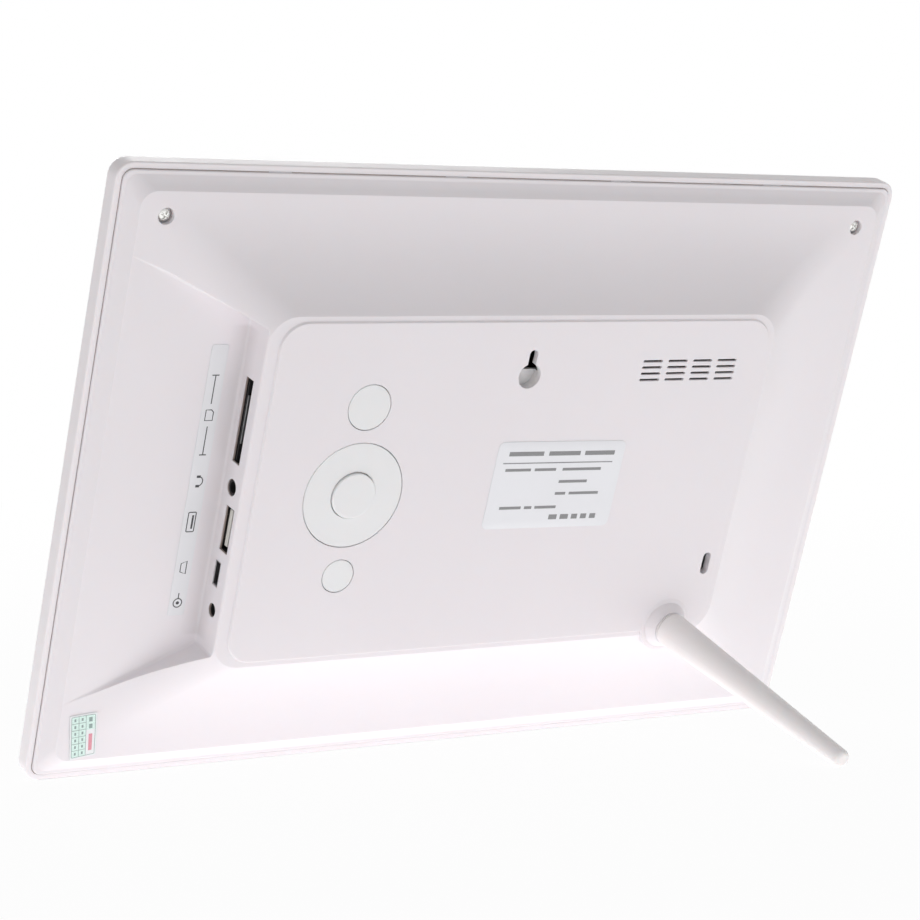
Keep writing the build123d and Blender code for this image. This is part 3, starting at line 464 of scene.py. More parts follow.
def plasticFinish(name, given):
    # Moulded plastic: flow mottling in the colour, tool grain in the bump, smears and dust in the gloss
    look = {**plainPlastic, **given}
    material, tree, shader, where = newMaterial(name)
    rounded = put(tree, "ShaderNodeBevel", {"Radius": look["round"]}, samples=6).outputs[0]
    grain = useGroup(tree, "grain", {"Vector": where, "Fine": look["fine"]})
    marks = useGroup(tree, "marks", {"Vector": where})
    dust = useGroup(tree, "dust", {"Vector": where, "Amount": look["dust"]})
    edge = useGroup(tree, "edge", {"Rounded": rounded})
    base = blend(tree, grain["Mottle"], rgb(look["colour"], 1 - look["mottle"]), rgb(look["colour"]))
    # Edges blend towards the edge colour, mostly a lighter tone: painted edge highlight, and on the dark plastics
    # also rubbed wear
    edgeWearAndHighlight = calc(tree, "MULTIPLY", edge["Mask"], look["edge"])
    wornAndHighlit = blend(tree, edgeWearAndHighlight, base, rgb(look["edgeColour"]))
    shown = blend(tree, dust["Mask"], wornAndHighlit, rgb(look["dustColour"]))
    # Painted light and shade about the port recess: painted shade on the hole walls and at the wall's foot,
    # painted light in the keyhole bowl
    if "holeWallShadeColour" in look:
        recessShading = useGroup(tree, "recessShading", {"Vector": where})
        foot = calc(tree, "MULTIPLY", recessShading["FootShade"], look["footShare"])
        shown = blend(tree, foot, shown, rgb(look["footColour"]))
        shown = blend(tree, recessShading["Mask"], shown, rgb(look["holeWallShadeColour"]))
        shown = blend(tree, recessShading["CupLight"], shown, rgb(look["cupLightColour"]))
    tree.links.new(shown, shader.inputs["Base Color"])
    if "depth" in look:
        shader.inputs["Subsurface Weight"].default_value = look["depth"]
        shader.inputs["Subsurface Radius"].default_value = underSurface["radius"]
        shader.inputs["Subsurface Scale"].default_value = underSurface["scale"]
    rough = ramp(tree, marks["Mask"], 0.0, 1.0, look["rough"], look["rough"] - look["smearGloss"])
    dusty = calc(tree, "MULTIPLY", dust["Mask"], look["dustRough"])
    tree.links.new(calc(tree, "ADD", rough, dusty), shader.inputs["Roughness"])
    bumpInto(tree, shader, grain["Height"], look["bump"], look["bumpDepth"], rounded)
    return material


plainMetal = {"stainSize": 400.0, "streakGain": 0.86, "streakRough": 0.1, "bumpDepth": 0.00005, "stain": 0.3}


def metalFinish(name, given):
    # Plated or rolled metal: streaks and stains in colour and gloss
    look = {**plainMetal, **given}
    material, tree, shader, where = newMaterial(name)
    streak = useGroup(tree, "brushed", {"Vector": where, "Fine": look["fine"]})["Streak"]
    marks = useGroup(tree, "marks", {"Vector": where, "Size": look["stainSize"]})["Mask"]
    base = blend(tree, streak, rgb(look["colour"], look["streakGain"]), rgb(look["colour"]))
    shown = blend(tree, calc(tree, "MULTIPLY", marks, look["stain"]), base, rgb(look["stainColour"]))
    tree.links.new(shown, shader.inputs["Base Color"])
    shader.inputs["Metallic"].default_value = 1.0
    rough = ramp(tree, streak, 0.0, 1.0, look["rough"] + look["streakRough"], look["rough"])
    tree.links.new(rough, shader.inputs["Roughness"])
    rounded = put(tree, "ShaderNodeBevel", {"Radius": look["round"]}, samples=4).outputs[0]
    bumpInto(tree, shader, streak, look["bump"], look["bumpDepth"], rounded)
    return material


caseWhite = plasticFinish("caseWhite", {
    "colour": (0.88, 0.84, 0.865), "mottle": 0.015, "fine": 1500.0, "bump": 0.06, "rough": 0.44,
    "round": 0.0003, "edge": 0.12, "edgeColour": (0.93, 0.90, 0.92), "dust": 0.06,
    # painted shade on the port hole walls and at the recess wall's foot, painted light in the keyhole bowl
    "holeWallShadeColour": (0.42, 0.34, 0.31), "footColour": (0.66, 0.62, 0.63), "cupLightColour": (0.98, 0.955, 0.96),
    "depth": 0.5,
})
# A lighter copy of the case white for the bezel: painted light on its shaded sides
bezelLitWhite = plasticFinish("bezelLitWhite", {
    "colour": (0.92, 0.872, 0.892), "mottle": 0.015, "fine": 1500.0, "bump": 0.05, "rough": 0.4,
    "round": 0.0003, "edge": 0.12, "edgeColour": (0.95, 0.93, 0.94), "dust": 0.04,
    "depth": 0.5,
})
# A lighter copy of the case white for the leg and its washer: painted light on their shaded undersides
legLitWhite = plasticFinish("legLitWhite", {
    "colour": (0.985, 0.925, 0.915), "mottle": 0.02, "fine": 1500.0, "bump": 0.06, "rough": 0.42,
    "round": 0.0003, "edge": 0.1, "edgeColour": (0.95, 0.91, 0.90), "dust": 0.03,
    "depth": 0.5,
})
# Tan for the seam lip: painted shade in the deep bezel seam
seamShadeTan = plasticFinish("seamShadeTan", {
    "colour": (0.50, 0.42, 0.37), "mottle": 0.05, "fine": 1500.0, "bump": 0.04, "rough": 0.5,
    "round": 0.0001, "edge": 0.05, "edgeColour": (0.6, 0.52, 0.47),
})
buttonWhite = plasticFinish("buttonWhite", {
    "colour": (0.875, 0.875, 0.88), "mottle": 0.012, "fine": 1900.0, "bump": 0.04, "rough": 0.38,
    "round": 0.0003, "edge": 0.12, "edgeColour": (0.93, 0.93, 0.94), "dust": 0.04,
    "depth": 0.5,
})
blackPlastic = plasticFinish("blackPlastic", {
    "colour": (0.022, 0.021, 0.022), "mottle": 0.2, "fine": 1800.0, "bump": 0.1, "rough": 0.45,
    "round": 0.00015, "edge": 0.3, "edgeColour": (0.07, 0.068, 0.07),
    "dust": 0.05, "dustColour": (0.3, 0.28, 0.26),
})
plungerGrey = plasticFinish("plungerGrey", {
    "colour": (0.16, 0.16, 0.17), "mottle": 0.1, "fine": 2200.0, "bump": 0.06, "rough": 0.4,
    "round": 0.00015, "edge": 0.2, "edgeColour": (0.3, 0.3, 0.31),
})
socketWhite = plasticFinish("socketWhite", {
    "colour": (0.80, 0.79, 0.74), "mottle": 0.04, "fine": 2000.0, "bump": 0.06, "rough": 0.4,
    "round": 0.00015, "edge": 0.15, "edgeColour": (0.9, 0.89, 0.86),
})
foamGrey = plasticFinish("foamGrey", {
    "colour": (0.11, 0.11, 0.12), "mottle": 0.25, "fine": 1100.0, "bump": 0.6, "rough": 0.9,
    "round": 0.0002, "edge": 0.1, "edgeColour": (0.2, 0.2, 0.2),
})
conePaper = plasticFinish("conePaper", {
    "colour": (0.09, 0.088, 0.09), "mottle": 0.3, "fine": 900.0, "bump": 0.4, "rough": 0.85,
    "round": 0.0002, "edge": 0.1, "edgeColour": (0.16, 0.16, 0.16),
})
leadRubber = plasticFinish("leadRubber", {
    "colour": (0.4, 0.035, 0.035), "mottle": 0.1, "fine": 1500.0, "bump": 0.05, "rough": 0.5,
    "round": 0.0001, "edge": 0.05, "edgeColour": (0.5, 0.1, 0.1),
})
chipBlack = plasticFinish("chipBlack", {
    "colour": (0.035, 0.035, 0.038), "mottle": 0.15, "fine": 2600.0, "bump": 0.25, "rough": 0.6,
    "round": 0.0001, "edge": 0.2, "edgeColour": (0.1, 0.1, 0.1),
})
clearAcrylic = plasticFinish("clearAcrylic", {
    "colour": (0.82, 0.86, 0.87), "mottle": 0.03, "fine": 500.0, "bump": 0.02, "rough": 0.12,
    "round": 0.0002, "edge": 0.4, "edgeColour": (0.6, 0.78, 0.8),
})
diffuserFilm = plasticFinish("diffuserFilm", {
    "colour": (0.88, 0.89, 0.9), "mottle": 0.02, "fine": 3000.0, "bump": 0.1, "rough": 0.5,
    "round": 0.0001, "edge": 0.1, "edgeColour": (0.8, 0.82, 0.84),
})
zinc = metalFinish("zinc", {
    "colour": (0.70, 0.70, 0.685), "fine": 1400.0, "rough": 0.26, "bump": 0.08, "round": 0.00012,
    "stain": 0.35, "stainColour": (0.5, 0.49, 0.46),
})
sheetMetal = metalFinish("sheetMetal", {
    "colour": (0.60, 0.61, 0.62), "fine": 700.0, "rough": 0.34, "bump": 0.15, "round": 0.0002,
    "stain": 0.25, "stainColour": (0.4, 0.39, 0.38),
})
portMetal = metalFinish("portMetal", {
    "colour": (0.62, 0.62, 0.63), "fine": 1600.0, "rough": 0.24, "bump": 0.06, "round": 0.00012,
    "stainColour": (0.36, 0.35, 0.34),
})
# Near-black for the host port shell: painted shade in the port's deep mouth
hostShadedMetal = metalFinish("hostShadedMetal", {
    "colour": (0.10, 0.09, 0.085), "fine": 1600.0, "rough": 0.4, "bump": 0.06, "round": 0.00012,
    "stainColour": (0.05, 0.045, 0.04),
})
miniMetal = metalFinish("miniMetal", {
    "colour": (0.46, 0.46, 0.47), "fine": 1600.0, "rough": 0.3, "bump": 0.06, "round": 0.00012,
    "stainColour": (0.16, 0.15, 0.15),
})
brass = metalFinish("brass", {
    "colour": (0.70, 0.50, 0.20), "fine": 1200.0, "rough": 0.28, "bump": 0.1, "round": 0.00012,
    "stainColour": (0.42, 0.28, 0.12),
})
canSilver = metalFinish("canSilver", {
    "colour": (0.72, 0.73, 0.74), "fine": 1000.0, "rough": 0.2, "bump": 0.05, "round": 0.0002,
    "stain": 0.2, "stainColour": (0.5, 0.5, 0.5),
})
magnetGrey = metalFinish("magnetGrey", {
    "colour": (0.22, 0.22, 0.235), "fine": 600.0, "rough": 0.42, "bump": 0.2, "round": 0.0002,
    "stain": 0.4, "stainColour": (0.12, 0.11, 0.1),
})


def circuitFinish():
    # Solder mask over copper: wide traces from cell borders, small vias from point distances
    look = {"mask": (0.012, 0.085, 0.035), "trace": (0.03, 0.16, 0.07), "pad": (0.62, 0.55, 0.36),
            "traceScale": 260.0, "traceEdge": (0.10, 0.14), "viaScale": 330.0, "viaEdge": (0.07, 0.09),
            "rough": (0.3, 0.42), "bump": (0.3, 0.00004)}
    material, tree, shader, where = newMaterial("circuitGreen")
    cells = {"Vector": where, "Scale": look["traceScale"], "Randomness": 0.0}
    border = put(tree, "ShaderNodeTexVoronoi", cells, feature="DISTANCE_TO_EDGE").outputs[0]
    cells = {"Vector": where, "Scale": look["viaScale"], "Randomness": 0.8}
    via = put(tree, "ShaderNodeTexVoronoi", cells, feature="F1").outputs[0]
    traces = ramp(tree, border, *look["traceEdge"], 1.0, 0.0)
    base = blend(tree, traces, rgb(look["mask"]), rgb(look["trace"]))
    shown = blend(tree, ramp(tree, via, *look["viaEdge"], 1.0, 0.0), base, rgb(look["pad"]))
    tree.links.new(shown, shader.inputs["Base Color"])
    marks = useGroup(tree, "marks", {"Vector": where})["Mask"]
    tree.links.new(ramp(tree, marks, 0.0, 1.0, *look["rough"]), shader.inputs["Roughness"])
    bumpInto(tree, shader, traces, *look["bump"])
    return material


def ribbonFinish():
    # Amber film with copper lines running along the strip
    look = {"film": (0.42, 0.2, 0.045), "copper": (0.6, 0.33, 0.12), "linesPerMetre": 1000.0,
            "lineEdge": (0.22, 0.28), "rough": (0.32, 0.24), "bump": (0.3, 0.00003)}
    material, tree, shader, where = newMaterial("ribbonAmber")
    across = put(tree, "ShaderNodeSeparateXYZ", {0: where}).outputs[0]
    line = calc(tree, "FRACT", calc(tree, "MULTIPLY", across, look["linesPerMetre"]))
    offLine = calc(tree, "ABSOLUTE", calc(tree, "SUBTRACT", line, 0.5))
    copper = ramp(tree, offLine, *look["lineEdge"], 1.0, 0.0)
    shown = blend(tree, copper, rgb(look["film"]), rgb(look["copper"]))
    tree.links.new(shown, shader.inputs["Base Color"])
    tree.links.new(ramp(tree, copper, 0.0, 1.0, *look["rough"]), shader.inputs["Roughness"])
    bumpInto(tree, shader, copper, *look["bump"])
    return material


def clothFinish():
    # Woven mesh behind the grille: two crossed waves, the higher thread on top
    look = {"threadPitch": 0.0005, "low": (0.012, 0.01, 0.01), "high": (0.055, 0.042, 0.04),
            "rough": (0.95, 0.75), "bump": (0.8, 0.0001)}
    material, tree, shader, where = newMaterial("meshCloth")
    part = put(tree, "ShaderNodeSeparateXYZ", {0: where}).outputs
    pitch = 2 * math.pi / look["threadPitch"]
    warp = calc(tree, "SINE", calc(tree, "MULTIPLY", part[0], pitch))
    weft = calc(tree, "SINE", calc(tree, "MULTIPLY", part[2], pitch))
    weave = ramp(tree, calc(tree, "MULTIPLY", warp, weft), -1.0, 1.0)
    shown = blend(tree, weave, rgb(look["low"]), rgb(look["high"]))
    tree.links.new(shown, shader.inputs["Base Color"])
    tree.links.new(ramp(tree, weave, 0.0, 1.0, *look["rough"]), shader.inputs["Roughness"])
    bumpInto(tree, shader, weave, *look["bump"])
    return material


def screenFinish():
    # Dark panel at rest: fine anti-glare sparkle, a darker border round the picture area
    look = {"active": (0.013, 0.014, 0.017), "border": (0.004, 0.004, 0.0045), "rough": (0.16, 0.24),
            "halfWidth": 0.1105, "halfHeight": 0.0622, "fade": 0.0002, "bump": (0.03, 0.00005)}
    material, tree, shader, where = newMaterial("screenGlass")
    up = panelTurn[2]
    part = put(tree, "ShaderNodeSeparateXYZ", {0: where}).outputs
    centre = float(panelOrigin @ up)
    leaning, rising = (calc(tree, "MULTIPLY", part[axis], float(up[axis])) for axis in (1, 2))
    height = calc(tree, "ABSOLUTE", calc(tree, "SUBTRACT", calc(tree, "ADD", leaning, rising), centre))
    side = calc(tree, "ABSOLUTE", part[0])
    sideEdge = ramp(tree, side, look["halfWidth"], look["halfWidth"] + look["fade"])
    topEdge = ramp(tree, height, look["halfHeight"], look["halfHeight"] + look["fade"])
    border = calc(tree, "MAXIMUM", sideEdge, topEdge)
    shown = blend(tree, border, rgb(look["active"]), rgb(look["border"]))
    tree.links.new(shown, shader.inputs["Base Color"])
    grain = useGroup(tree, "grain", {"Vector": where, "Fine": 5000.0})
    marks = useGroup(tree, "marks", {"Vector": where, "Size": 40.0})["Mask"]
    tree.links.new(ramp(tree, marks, 0.0, 1.0, *look["rough"]), shader.inputs["Roughness"])
    bumpInto(tree, shader, grain["Height"], *look["bump"])
    return material


def paperFinish(name, colour, gloss):
    # Coated label stock: faint fibre in the colour and a slightly uneven gloss
    material, tree, shader, where = newMaterial(name)
    grain = useGroup(tree, "grain", {"Vector": where, "Fine": 2600.0, "Flow": 60.0})
    look = {"fibreGain": 0.975, "fibreRough": 0.08, "bump": (0.05, 0.00005)}
    shown = blend(tree, grain["Mottle"], rgb(colour, look["fibreGain"]), rgb(colour))
    tree.links.new(shown, shader.inputs["Base Color"])
    rough = ramp(tree, grain["Mottle"], 0.0, 1.0, gloss, gloss + look["fibreRough"])
    tree.links.new(rough, shader.inputs["Roughness"])
    bumpInto(tree, shader, grain["Height"], *look["bump"])
    return material


def inkFinish(name, colour):
    # Printed ink: coverage breaks up a little into the stock's grain
    material, tree, shader, where = newMaterial(name)
    look = {"speckle": 6000.0, "cover": (0.25, 0.45), "thinGain": 1.6, "rough": (0.55, 0.4)}
    cover = ramp(tree, noise(tree, where, look["speckle"], 3.0), *look["cover"])
    shown = blend(tree, cover, rgb(colour, look["thinGain"]), rgb(colour))
    tree.links.new(shown, shader.inputs["Base Color"])
    tree.links.new(ramp(tree, cover, 0.0, 1.0, *look["rough"]), shader.inputs["Roughness"])
    return material


labelPaper = paperFinish("labelPaper", (0.865, 0.87, 0.90), 0.36)
stripPaper = paperFinish("stripPaper", (0.835, 0.835, 0.86), 0.38)
inkGrey = inkFinish("inkGrey", (0.24, 0.24, 0.245))
inkDark = inkFinish("inkDark", (0.05, 0.05, 0.055))

finishes = {
    "case_white": caseWhite, "button_white": buttonWhite, "zinc": zinc, "screen_glass": screenFinish(),
    "film": diffuserFilm, "acrylic": clearAcrylic, "sheet_metal": sheetMetal,
    "circuit_green": circuitFinish(), "chip_black": chipBlack, "ribbon_amber": ribbonFinish(),
    "socket_white": socketWhite, "port_metal": portMetal, "black_plastic": blackPlastic, "brass": brass,
    "can_silver": canSilver, "magnet_grey": magnetGrey, "cone_paper": conePaper, "foam": foamGrey,
    "mesh_cloth": clothFinish(), "lead_rubber": leadRubber, "plunger_grey": plungerGrey,
}
ownFinishes = {             # pieces whose finish differs from the rest of their material; bezel and leg lighter as painted light, host shell dark as painted shade
    "front_bezel": bezelLitWhite, "stand_leg": legLitWhite, "leg_washer": legLitWhite,
    "host_port_shell": hostShadedMetal, "mini_port_shell": miniMetal,
}
for part in frame["record"]["subparts"]:
    node = nodes[part["node"]]
    for holder in node.material_slots:
        holder.material = ownFinishes.get(part["node"], finishes[part["material_slot"]])


# Case screws: pan heads with a cross recess, sunk in the cover's wells
caseScrew = {
    "x": 121.0, "z": 78.8, "seatY": 1.3, "headR": 2.0, "headT": 1.2, "domeDrop": 0.5, "domePower": 3.2,
    "crossReach": 1.2, "crossHalf": 0.27, "crossDepth": 0.7, "crossTaper": 0.5,
    "barBlur": 0.06, "endBlur": 0.1,
    "shankR": 1.25, "endY": -4.5, "pitch": 0.9, "threadDepth": 0.22, "tipLength": 1.2, "tipShare": 0.25,
    "turns": (12, 41, 67, 23), "around": 128, "topRings": 46, "shankRings": 70,
}


def screwShell(x, z, turn, spec):
    # Rings about the screw's axis: domed top less two tapered bars, rim, then a helical thread to the tip
    start = math.radians(turn)
    angle = np.linspace(0, 2 * math.pi, spec["around"], endpoint=False) + start
    share = np.linspace(0, 1, spec["topRings"])[:, None]
    topR = share * spec["headR"] * np.ones_like(angle)
    dome = spec["headT"] * (1 - spec["domeDrop"] * share ** spec["domePower"])
    along = np.maximum(np.abs(np.cos(angle - start)), np.abs(np.sin(angle - start)))
    off = topR * np.sqrt(1 - np.clip(along, 0, 1) ** 2)
    inBar = np.clip((spec["crossHalf"] + spec["barBlur"] - off) / (2 * spec["barBlur"]), 0, 1)
    inReach = np.clip((spec["crossReach"] + spec["endBlur"] - topR) / (2 * spec["endBlur"]), 0, 1)
    depth = spec["crossDepth"] * (1 - spec["crossTaper"] * topR / spec["crossReach"])
    topY = spec["seatY"] + dome - inBar * inReach * depth
    shankY = np.linspace(spec["seatY"], spec["endY"], spec["shankRings"])[:, None]
    groove = np.abs((shankY / spec["pitch"] + (angle - angle[0]) / (2 * math.pi)) % 1 - 0.5) * 2
    taper = np.clip((shankY - spec["endY"]) / spec["tipLength"], spec["tipShare"], 1)
    shankR = (spec["shankR"] - spec["threadDepth"] * groove) * taper
    ring = np.ones_like(angle)[None]
    radius = np.concatenate([topR, ring * spec["headR"], shankR, ring * 0])
    level = np.concatenate([topY, ring * spec["seatY"], shankY * ring, ring * spec["endY"]])
    points = np.stack([x + radius * np.cos(angle), level, z + radius * np.sin(angle)], -1)
    return gridShell(points, wrapCols=True)


screwPlaces = [(sx * caseScrew["x"], sz * caseScrew["z"]) for sx in (-1, 1) for sz in (-1, 1)]
screwShells = [screwShell(x, z, turn, caseScrew)
               for (x, z), turn in zip(screwPlaces, caseScrew["turns"])]
screwSet = makePiece("caseScrewSet", screwShells, zinc, "frame", sharp=40)
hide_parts("case_screws")
print("case screws:", len(screwPlaces))

inkSink, lineSink = 0.005, 0.004    # mm that ink stands in its paper, and a line in the ink under it

# Rating label: a plain plate with a rule and rows of short bars in place of words
ratingLabel = {
    "width": 46.4, "height": 28.1, "radius": 2.0, "thick": 0.12, "inkThick": 0.02,
    "place": {"x": -17.4, "z": 0.0, "turn": -1.0, "surface": onLevel(casePlan["platformY"])},
    "rule": (-20.5, 19.5, 7.2, 0.35),
    "rows": [
        (10.2, 1.4, [(-19.0, -6.5), (-4.6, 6.9), (8.6, 19.6)]),
        (5.0, 0.9, [(-19.2, -10.0), (-8.6, -0.8), (1.6, 15.8)]),
        (1.0, 0.9, [(1.2, 11.6)]),
        (-2.9, 0.9, [(0.8, 4.6), (5.9, 16.8)]),
        (-7.3, 0.9, [(-18.4, -10.6), (-9.4, -6.7), (-5.6, 2.2)]),
        (-10.6, 1.6, [(0.4, 3.4), (4.6, 7.6), (8.8, 11.0), (12.2, 14.4), (15.6, 17.8)]),
    ],
}


def ratingLabelPieces(spec):
    outline = roundRect(spec["width"], spec["height"], spec["radius"])
    plate = plateShell(outline, spec["thick"], spec["place"])
    makePiece("ratingLabel", [plate], labelPaper, "frame")
    lift = spec["thick"] - inkSink
    u0, u1, v, width = spec["rule"]
    marks = [bar(u0, u1, v, width, spec["inkThick"], lift, spec["place"])]
    for v, width, spans in spec["rows"]:
        marks += [bar(a, b, v, width, spec["inkThick"], lift, spec["place"]) for a, b in spans]
    makePiece("ratingMarks", marks, inkGrey, "frame")


ratingLabelPieces(ratingLabel)

# Port strip on the recess floor, with one plain sign beside each socket
portStrip = {
    "width": 5.3, "height": 83.0, "radius": 0.8, "thick": 0.12, "inkThick": 0.02, "line": 0.32,
    "place": {"x": 97.65, "z": 0.3, "turn": 0.0, "surface": onLevel(casePlan["recessFloorY"])},
    "cardV": 20.4, "cardSpan": 24.0, "cardGap": 3.4, "cardStop": 1.1,
    "card": [(-1.2, -1.6), (1.2, -1.6), (1.2, 0.9), (0.5, 1.6), (-1.2, 1.6)],
    "jackV": 0.3, "bandR": 1.45, "bandSweep": (-80, 80), "cushion": (0.6, 0.75),
    "hostV": -12.2, "host": (2.4, 6.0, 0.3), "tongue": (0.35, 2.1, 0.6),
    "miniV": -26.4, "mini": [(-0.9, -1.3), (0.9, -2.0), (0.9, 2.0), (-0.9, 1.3)],
    "powerV": -37.5, "plug": (1.35, 340, 24), "pin": (0.28, 330, 12, 0.5), "lead": (1.4, 2.3, 3.1),
}


def arc(cu, cv, radius, start, end, steps=18):
    angle = np.radians(np.linspace(start, end, steps))
    return np.stack([cu + radius * np.cos(angle), cv + radius * np.sin(angle)], -1)


def portStripPieces(spec):
    outline = roundRect(spec["width"], spec["height"], spec["radius"])
    plate = plateShell(outline, spec["thick"], spec["place"])
    makePiece("portStrip", [plate], stripPaper, "frame")
    lift = spec["thick"] - inkSink

    def draw(path, width=spec["line"], closed=False):
        return bandShell(path, width, spec["inkThick"], lift, spec["place"], closed)

    v, half, stop = spec["cardV"], spec["cardSpan"] / 2, spec["cardStop"]
    signs = [draw(np.array(spec["card"]) + (0, v), closed=True)]
    for side in (-1, 1):
        end = v + side * half
        signs.append(draw([(0, v + side * spec["cardGap"]), (0, v + side * half * 0.6), (0, end)]))
        signs.append(draw([(-stop, end), (0, end), (stop, end)]))
    v, bandR = spec["jackV"], spec["bandR"]
    signs.append(draw(arc(0, v, bandR, *spec["bandSweep"])))
    long, wide = spec["cushion"]
    for end in (v - bandR, v + bandR):
        signs.append(draw([(-long, end), (0.0, end), (long, end)], wide))
    v = spec["hostV"]
    signs.append(draw(roundRect(*spec["host"], 4) + (0, v), closed=True))
    u, long, wide = spec["tongue"]
    signs.append(draw([(u, v - long), (u, v), (u, v + long)], wide))
    signs.append(draw(np.array(spec["mini"]) + (0, spec["miniV"]), closed=True))
    v = spec["powerV"]
    plugR, plugEnd, plugSteps = spec["plug"]
    signs.append(draw(arc(0, v, plugR, 0, plugEnd, plugSteps), closed=True))
    pinR, pinEnd, pinSteps, pinWide = spec["pin"]
    signs.append(draw(arc(0, v, pinR, 0, pinEnd, pinSteps), pinWide, closed=True))
    signs.append(draw([(0, v + along) for along in spec["lead"]]))
    makePiece("portSigns", signs, inkDark, "frame")


portStripPieces(portStrip)

# Ruled inspection sticker, bridging the lower screw well: two columns of cells, a third split in two
stickerLift = 0.12          # mm off the ramp
ruledSticker = {
    "width": 8.2, "height": 14.4, "thick": 0.1, "inkThick": 0.02, "line": 0.15, "margin": 0.55,
    "place": {"x": 121.1, "z": -77.6, "turn": 8.0, "surface": lambda x, z: onCover(x, z) + stickerLift},
    "columns": (0.31, 0.61), "rows": 6, "greenShare": 0.36, "dash": (0.9, 0.55), "redBar": (1.1, 5.6),
    "corner": 0.35, "ruleCorner": 0.3, "blockGap": 0.4, "blockWide": 1.0,
    "rimPoints": 160, "linePoints": 40, "rings": 24, "grid": (24, 48),
}
stickerPaper = paperFinish("stickerPaper", (0.87, 0.89, 0.90), 0.34)
stickerGreen = inkFinish("stickerGreen", (0.70, 0.87, 0.81))
stickerLine = inkFinish("stickerLine", (0.27, 0.36, 0.34))
stickerRed = inkFinish("stickerRed", (0.72, 0.30, 0.36))


def stickerFill(u0, u1, v0, v1, lift, spec):
    # An even grid at the upper and at the lower level, both drawn to half height along the rim
    cols, rows = spec["grid"]
    thick, place = spec["inkThick"], spec["place"]
    u, v = np.meshgrid(np.linspace(u0, u1, cols), np.linspace(v0, v1, rows))
    half = np.pad(np.full_like(u, thick / 2), 1)
    u, v = np.pad(u, 1, mode="edge"), np.pad(v, 1, mode="edge")
    return [gridShell(seat(u, v, lift + thick / 2 + side * half, place)) for side in (1, -1)]


def stickerPieces(spec):
    place, thick = spec["place"], spec["inkThick"]
    fieldLift = spec["thick"] - inkSink
    lineLift = fieldLift + thick - lineSink
    rim = evenly(roundRect(spec["width"], spec["height"], spec["corner"], 6), spec["rimPoints"])
    plate = plateShell(rim, spec["thick"], place, spec["rings"])
    makePiece("ruledSticker", [plate], stickerPaper, "frame")
    inU, inV = spec["width"] / 2 - spec["margin"], spec["height"] / 2 - spec["margin"]
    first, second = (-inU + 2 * inU * share for share in spec["columns"])
    split = inV - 2 * inV * spec["greenShare"]
    greens = stickerFill(-inU, second, -inV, inV, fieldLift, spec)
    greens += stickerFill(second + spec["line"] / 4, inU, split, inV, fieldLift, spec)
    makePiece("stickerGreenField", greens, stickerGreen, "frame")

    def draw(u0, v0, u1, v1, width=spec["line"]):
        path = np.linspace((u0, v0), (u1, v1), spec["linePoints"])
        return bandShell(path, width, thick, lineLift, place)

    border = evenly(roundRect(inU * 2, inV * 2, spec["ruleCorner"], 5), spec["rimPoints"])
    lines = [bandShell(border, spec["line"], thick, lineLift, place, closed=True)]
    lines += [draw(u, -inV, u, inV) for u in (first, second)]
    step = 2 * inV / spec["rows"]
    lines += [draw(-inU, -inV + k * step, second, -inV + k * step) for k in range(1, spec["rows"])]
    long, wide = spec["dash"]
    middles = ((-inU + first) / 2, (first + second) / 2)
    for k in range(spec["rows"]):
        v = -inV + (k + 0.5) * step
        lines += [draw(u, v - long / 2, u, v + long / 2, wide) for u in middles]
    u, gap = (second + inU) / 2, spec["blockGap"]
    for low in (split, split + step):
        lines.append(draw(u, low + gap, u, low + step - gap, spec["blockWide"]))
    makePiece("stickerLines", lines, stickerLine, "frame")
    wide, long = spec["redBar"]
    middle = (split - inV) / 2
    reds = [draw(u, middle - long / 2, u, middle + long / 2, wide)]
    makePiece("stickerBar", reds, stickerRed, "frame")


stickerPieces(ruledSticker)
print("label, strip and sticker made")


def boxShell(x0, x1, y0, y1, z0, z1):
    # A closed ring of corners round the x axis, drawn in to a point at each end
    y, z = np.array([y0, y1, y1, y0]), np.array([z0, z0, z1, z1])
    xs = np.array([x0, x0, x1, x1])
    shrink = np.array([0.0, 1.0, 1.0, 0.0])[:, None]
    midY, midZ = (y0 + y1) / 2, (z0 + z1) / 2
    ringX = np.repeat(xs[:, None], 4, 1)
    points = np.stack([ringX, midY + (y - midY) * shrink, midZ + (z - midZ) * shrink], -1)
    return gridShell(points, wrapCols=True)


# The bezel's inner lip, which closes the seam a little below the rim; its tan colour is painted shade in the deep
# seam
seamLip = {"outline": (268.24, 181.74, 3.12), "across": 0.23, "depth": 0.9, "level": -1.2,
           "place": {"x": 0.0, "z": 0.0, "turn": 0.0, "surface": onLevel(0.0)}}
lipShell = bandShell(roundRect(*seamLip["outline"], 12), seamLip["across"], seamLip["depth"],
                     seamLip["level"], seamLip["place"], closed=True)
makePiece("seamLip", [lipShell], seamShadeTan, "frame")

# Catches of the bezel that show as light tabs in the top seam
seamLugs = {"x": (-86.5, -29.0, 29.0, 86.5), "half": 3.5, "y": (-1.6, -0.02), "z": (90.4, 90.98)}
lugShells = [boxShell(x - seamLugs["half"], x + seamLugs["half"], *seamLugs["y"], *seamLugs["z"])
             for x in seamLugs["x"]]
makePiece("seamLugs", lugShells, caseWhite, "frame")

# Spring plate just inside the card slot's mouth
cardGuide = {"reach": (8.0, 0.25), "y": (6.42, 6.62), "z": 20.55, "half": 7.25}
guideX = [casePlan["portX"] - reach for reach in cardGuide["reach"]]
guideZ = [cardGuide["z"] + side * cardGuide["half"] for side in (-1, 1)]
guideShell = boxShell(*guideX, *cardGuide["y"], *guideZ)
makePiece("cardGuide", [guideShell], sheetMetal, "frame")
print("seam lip, lugs and card guide made")


# Camera at the photograph's viewing angle
cameraSetup = {             # in panel axes
    "lens": 111.807, "sensor": 36, "clip": (0.01, 100),
    "place": (474.296, 653.971, 294.115),
    "right": (-0.8374561, 0.5134225, 0.1872554),
    "up": (-0.0317512, -0.387773, 0.9212079),
}


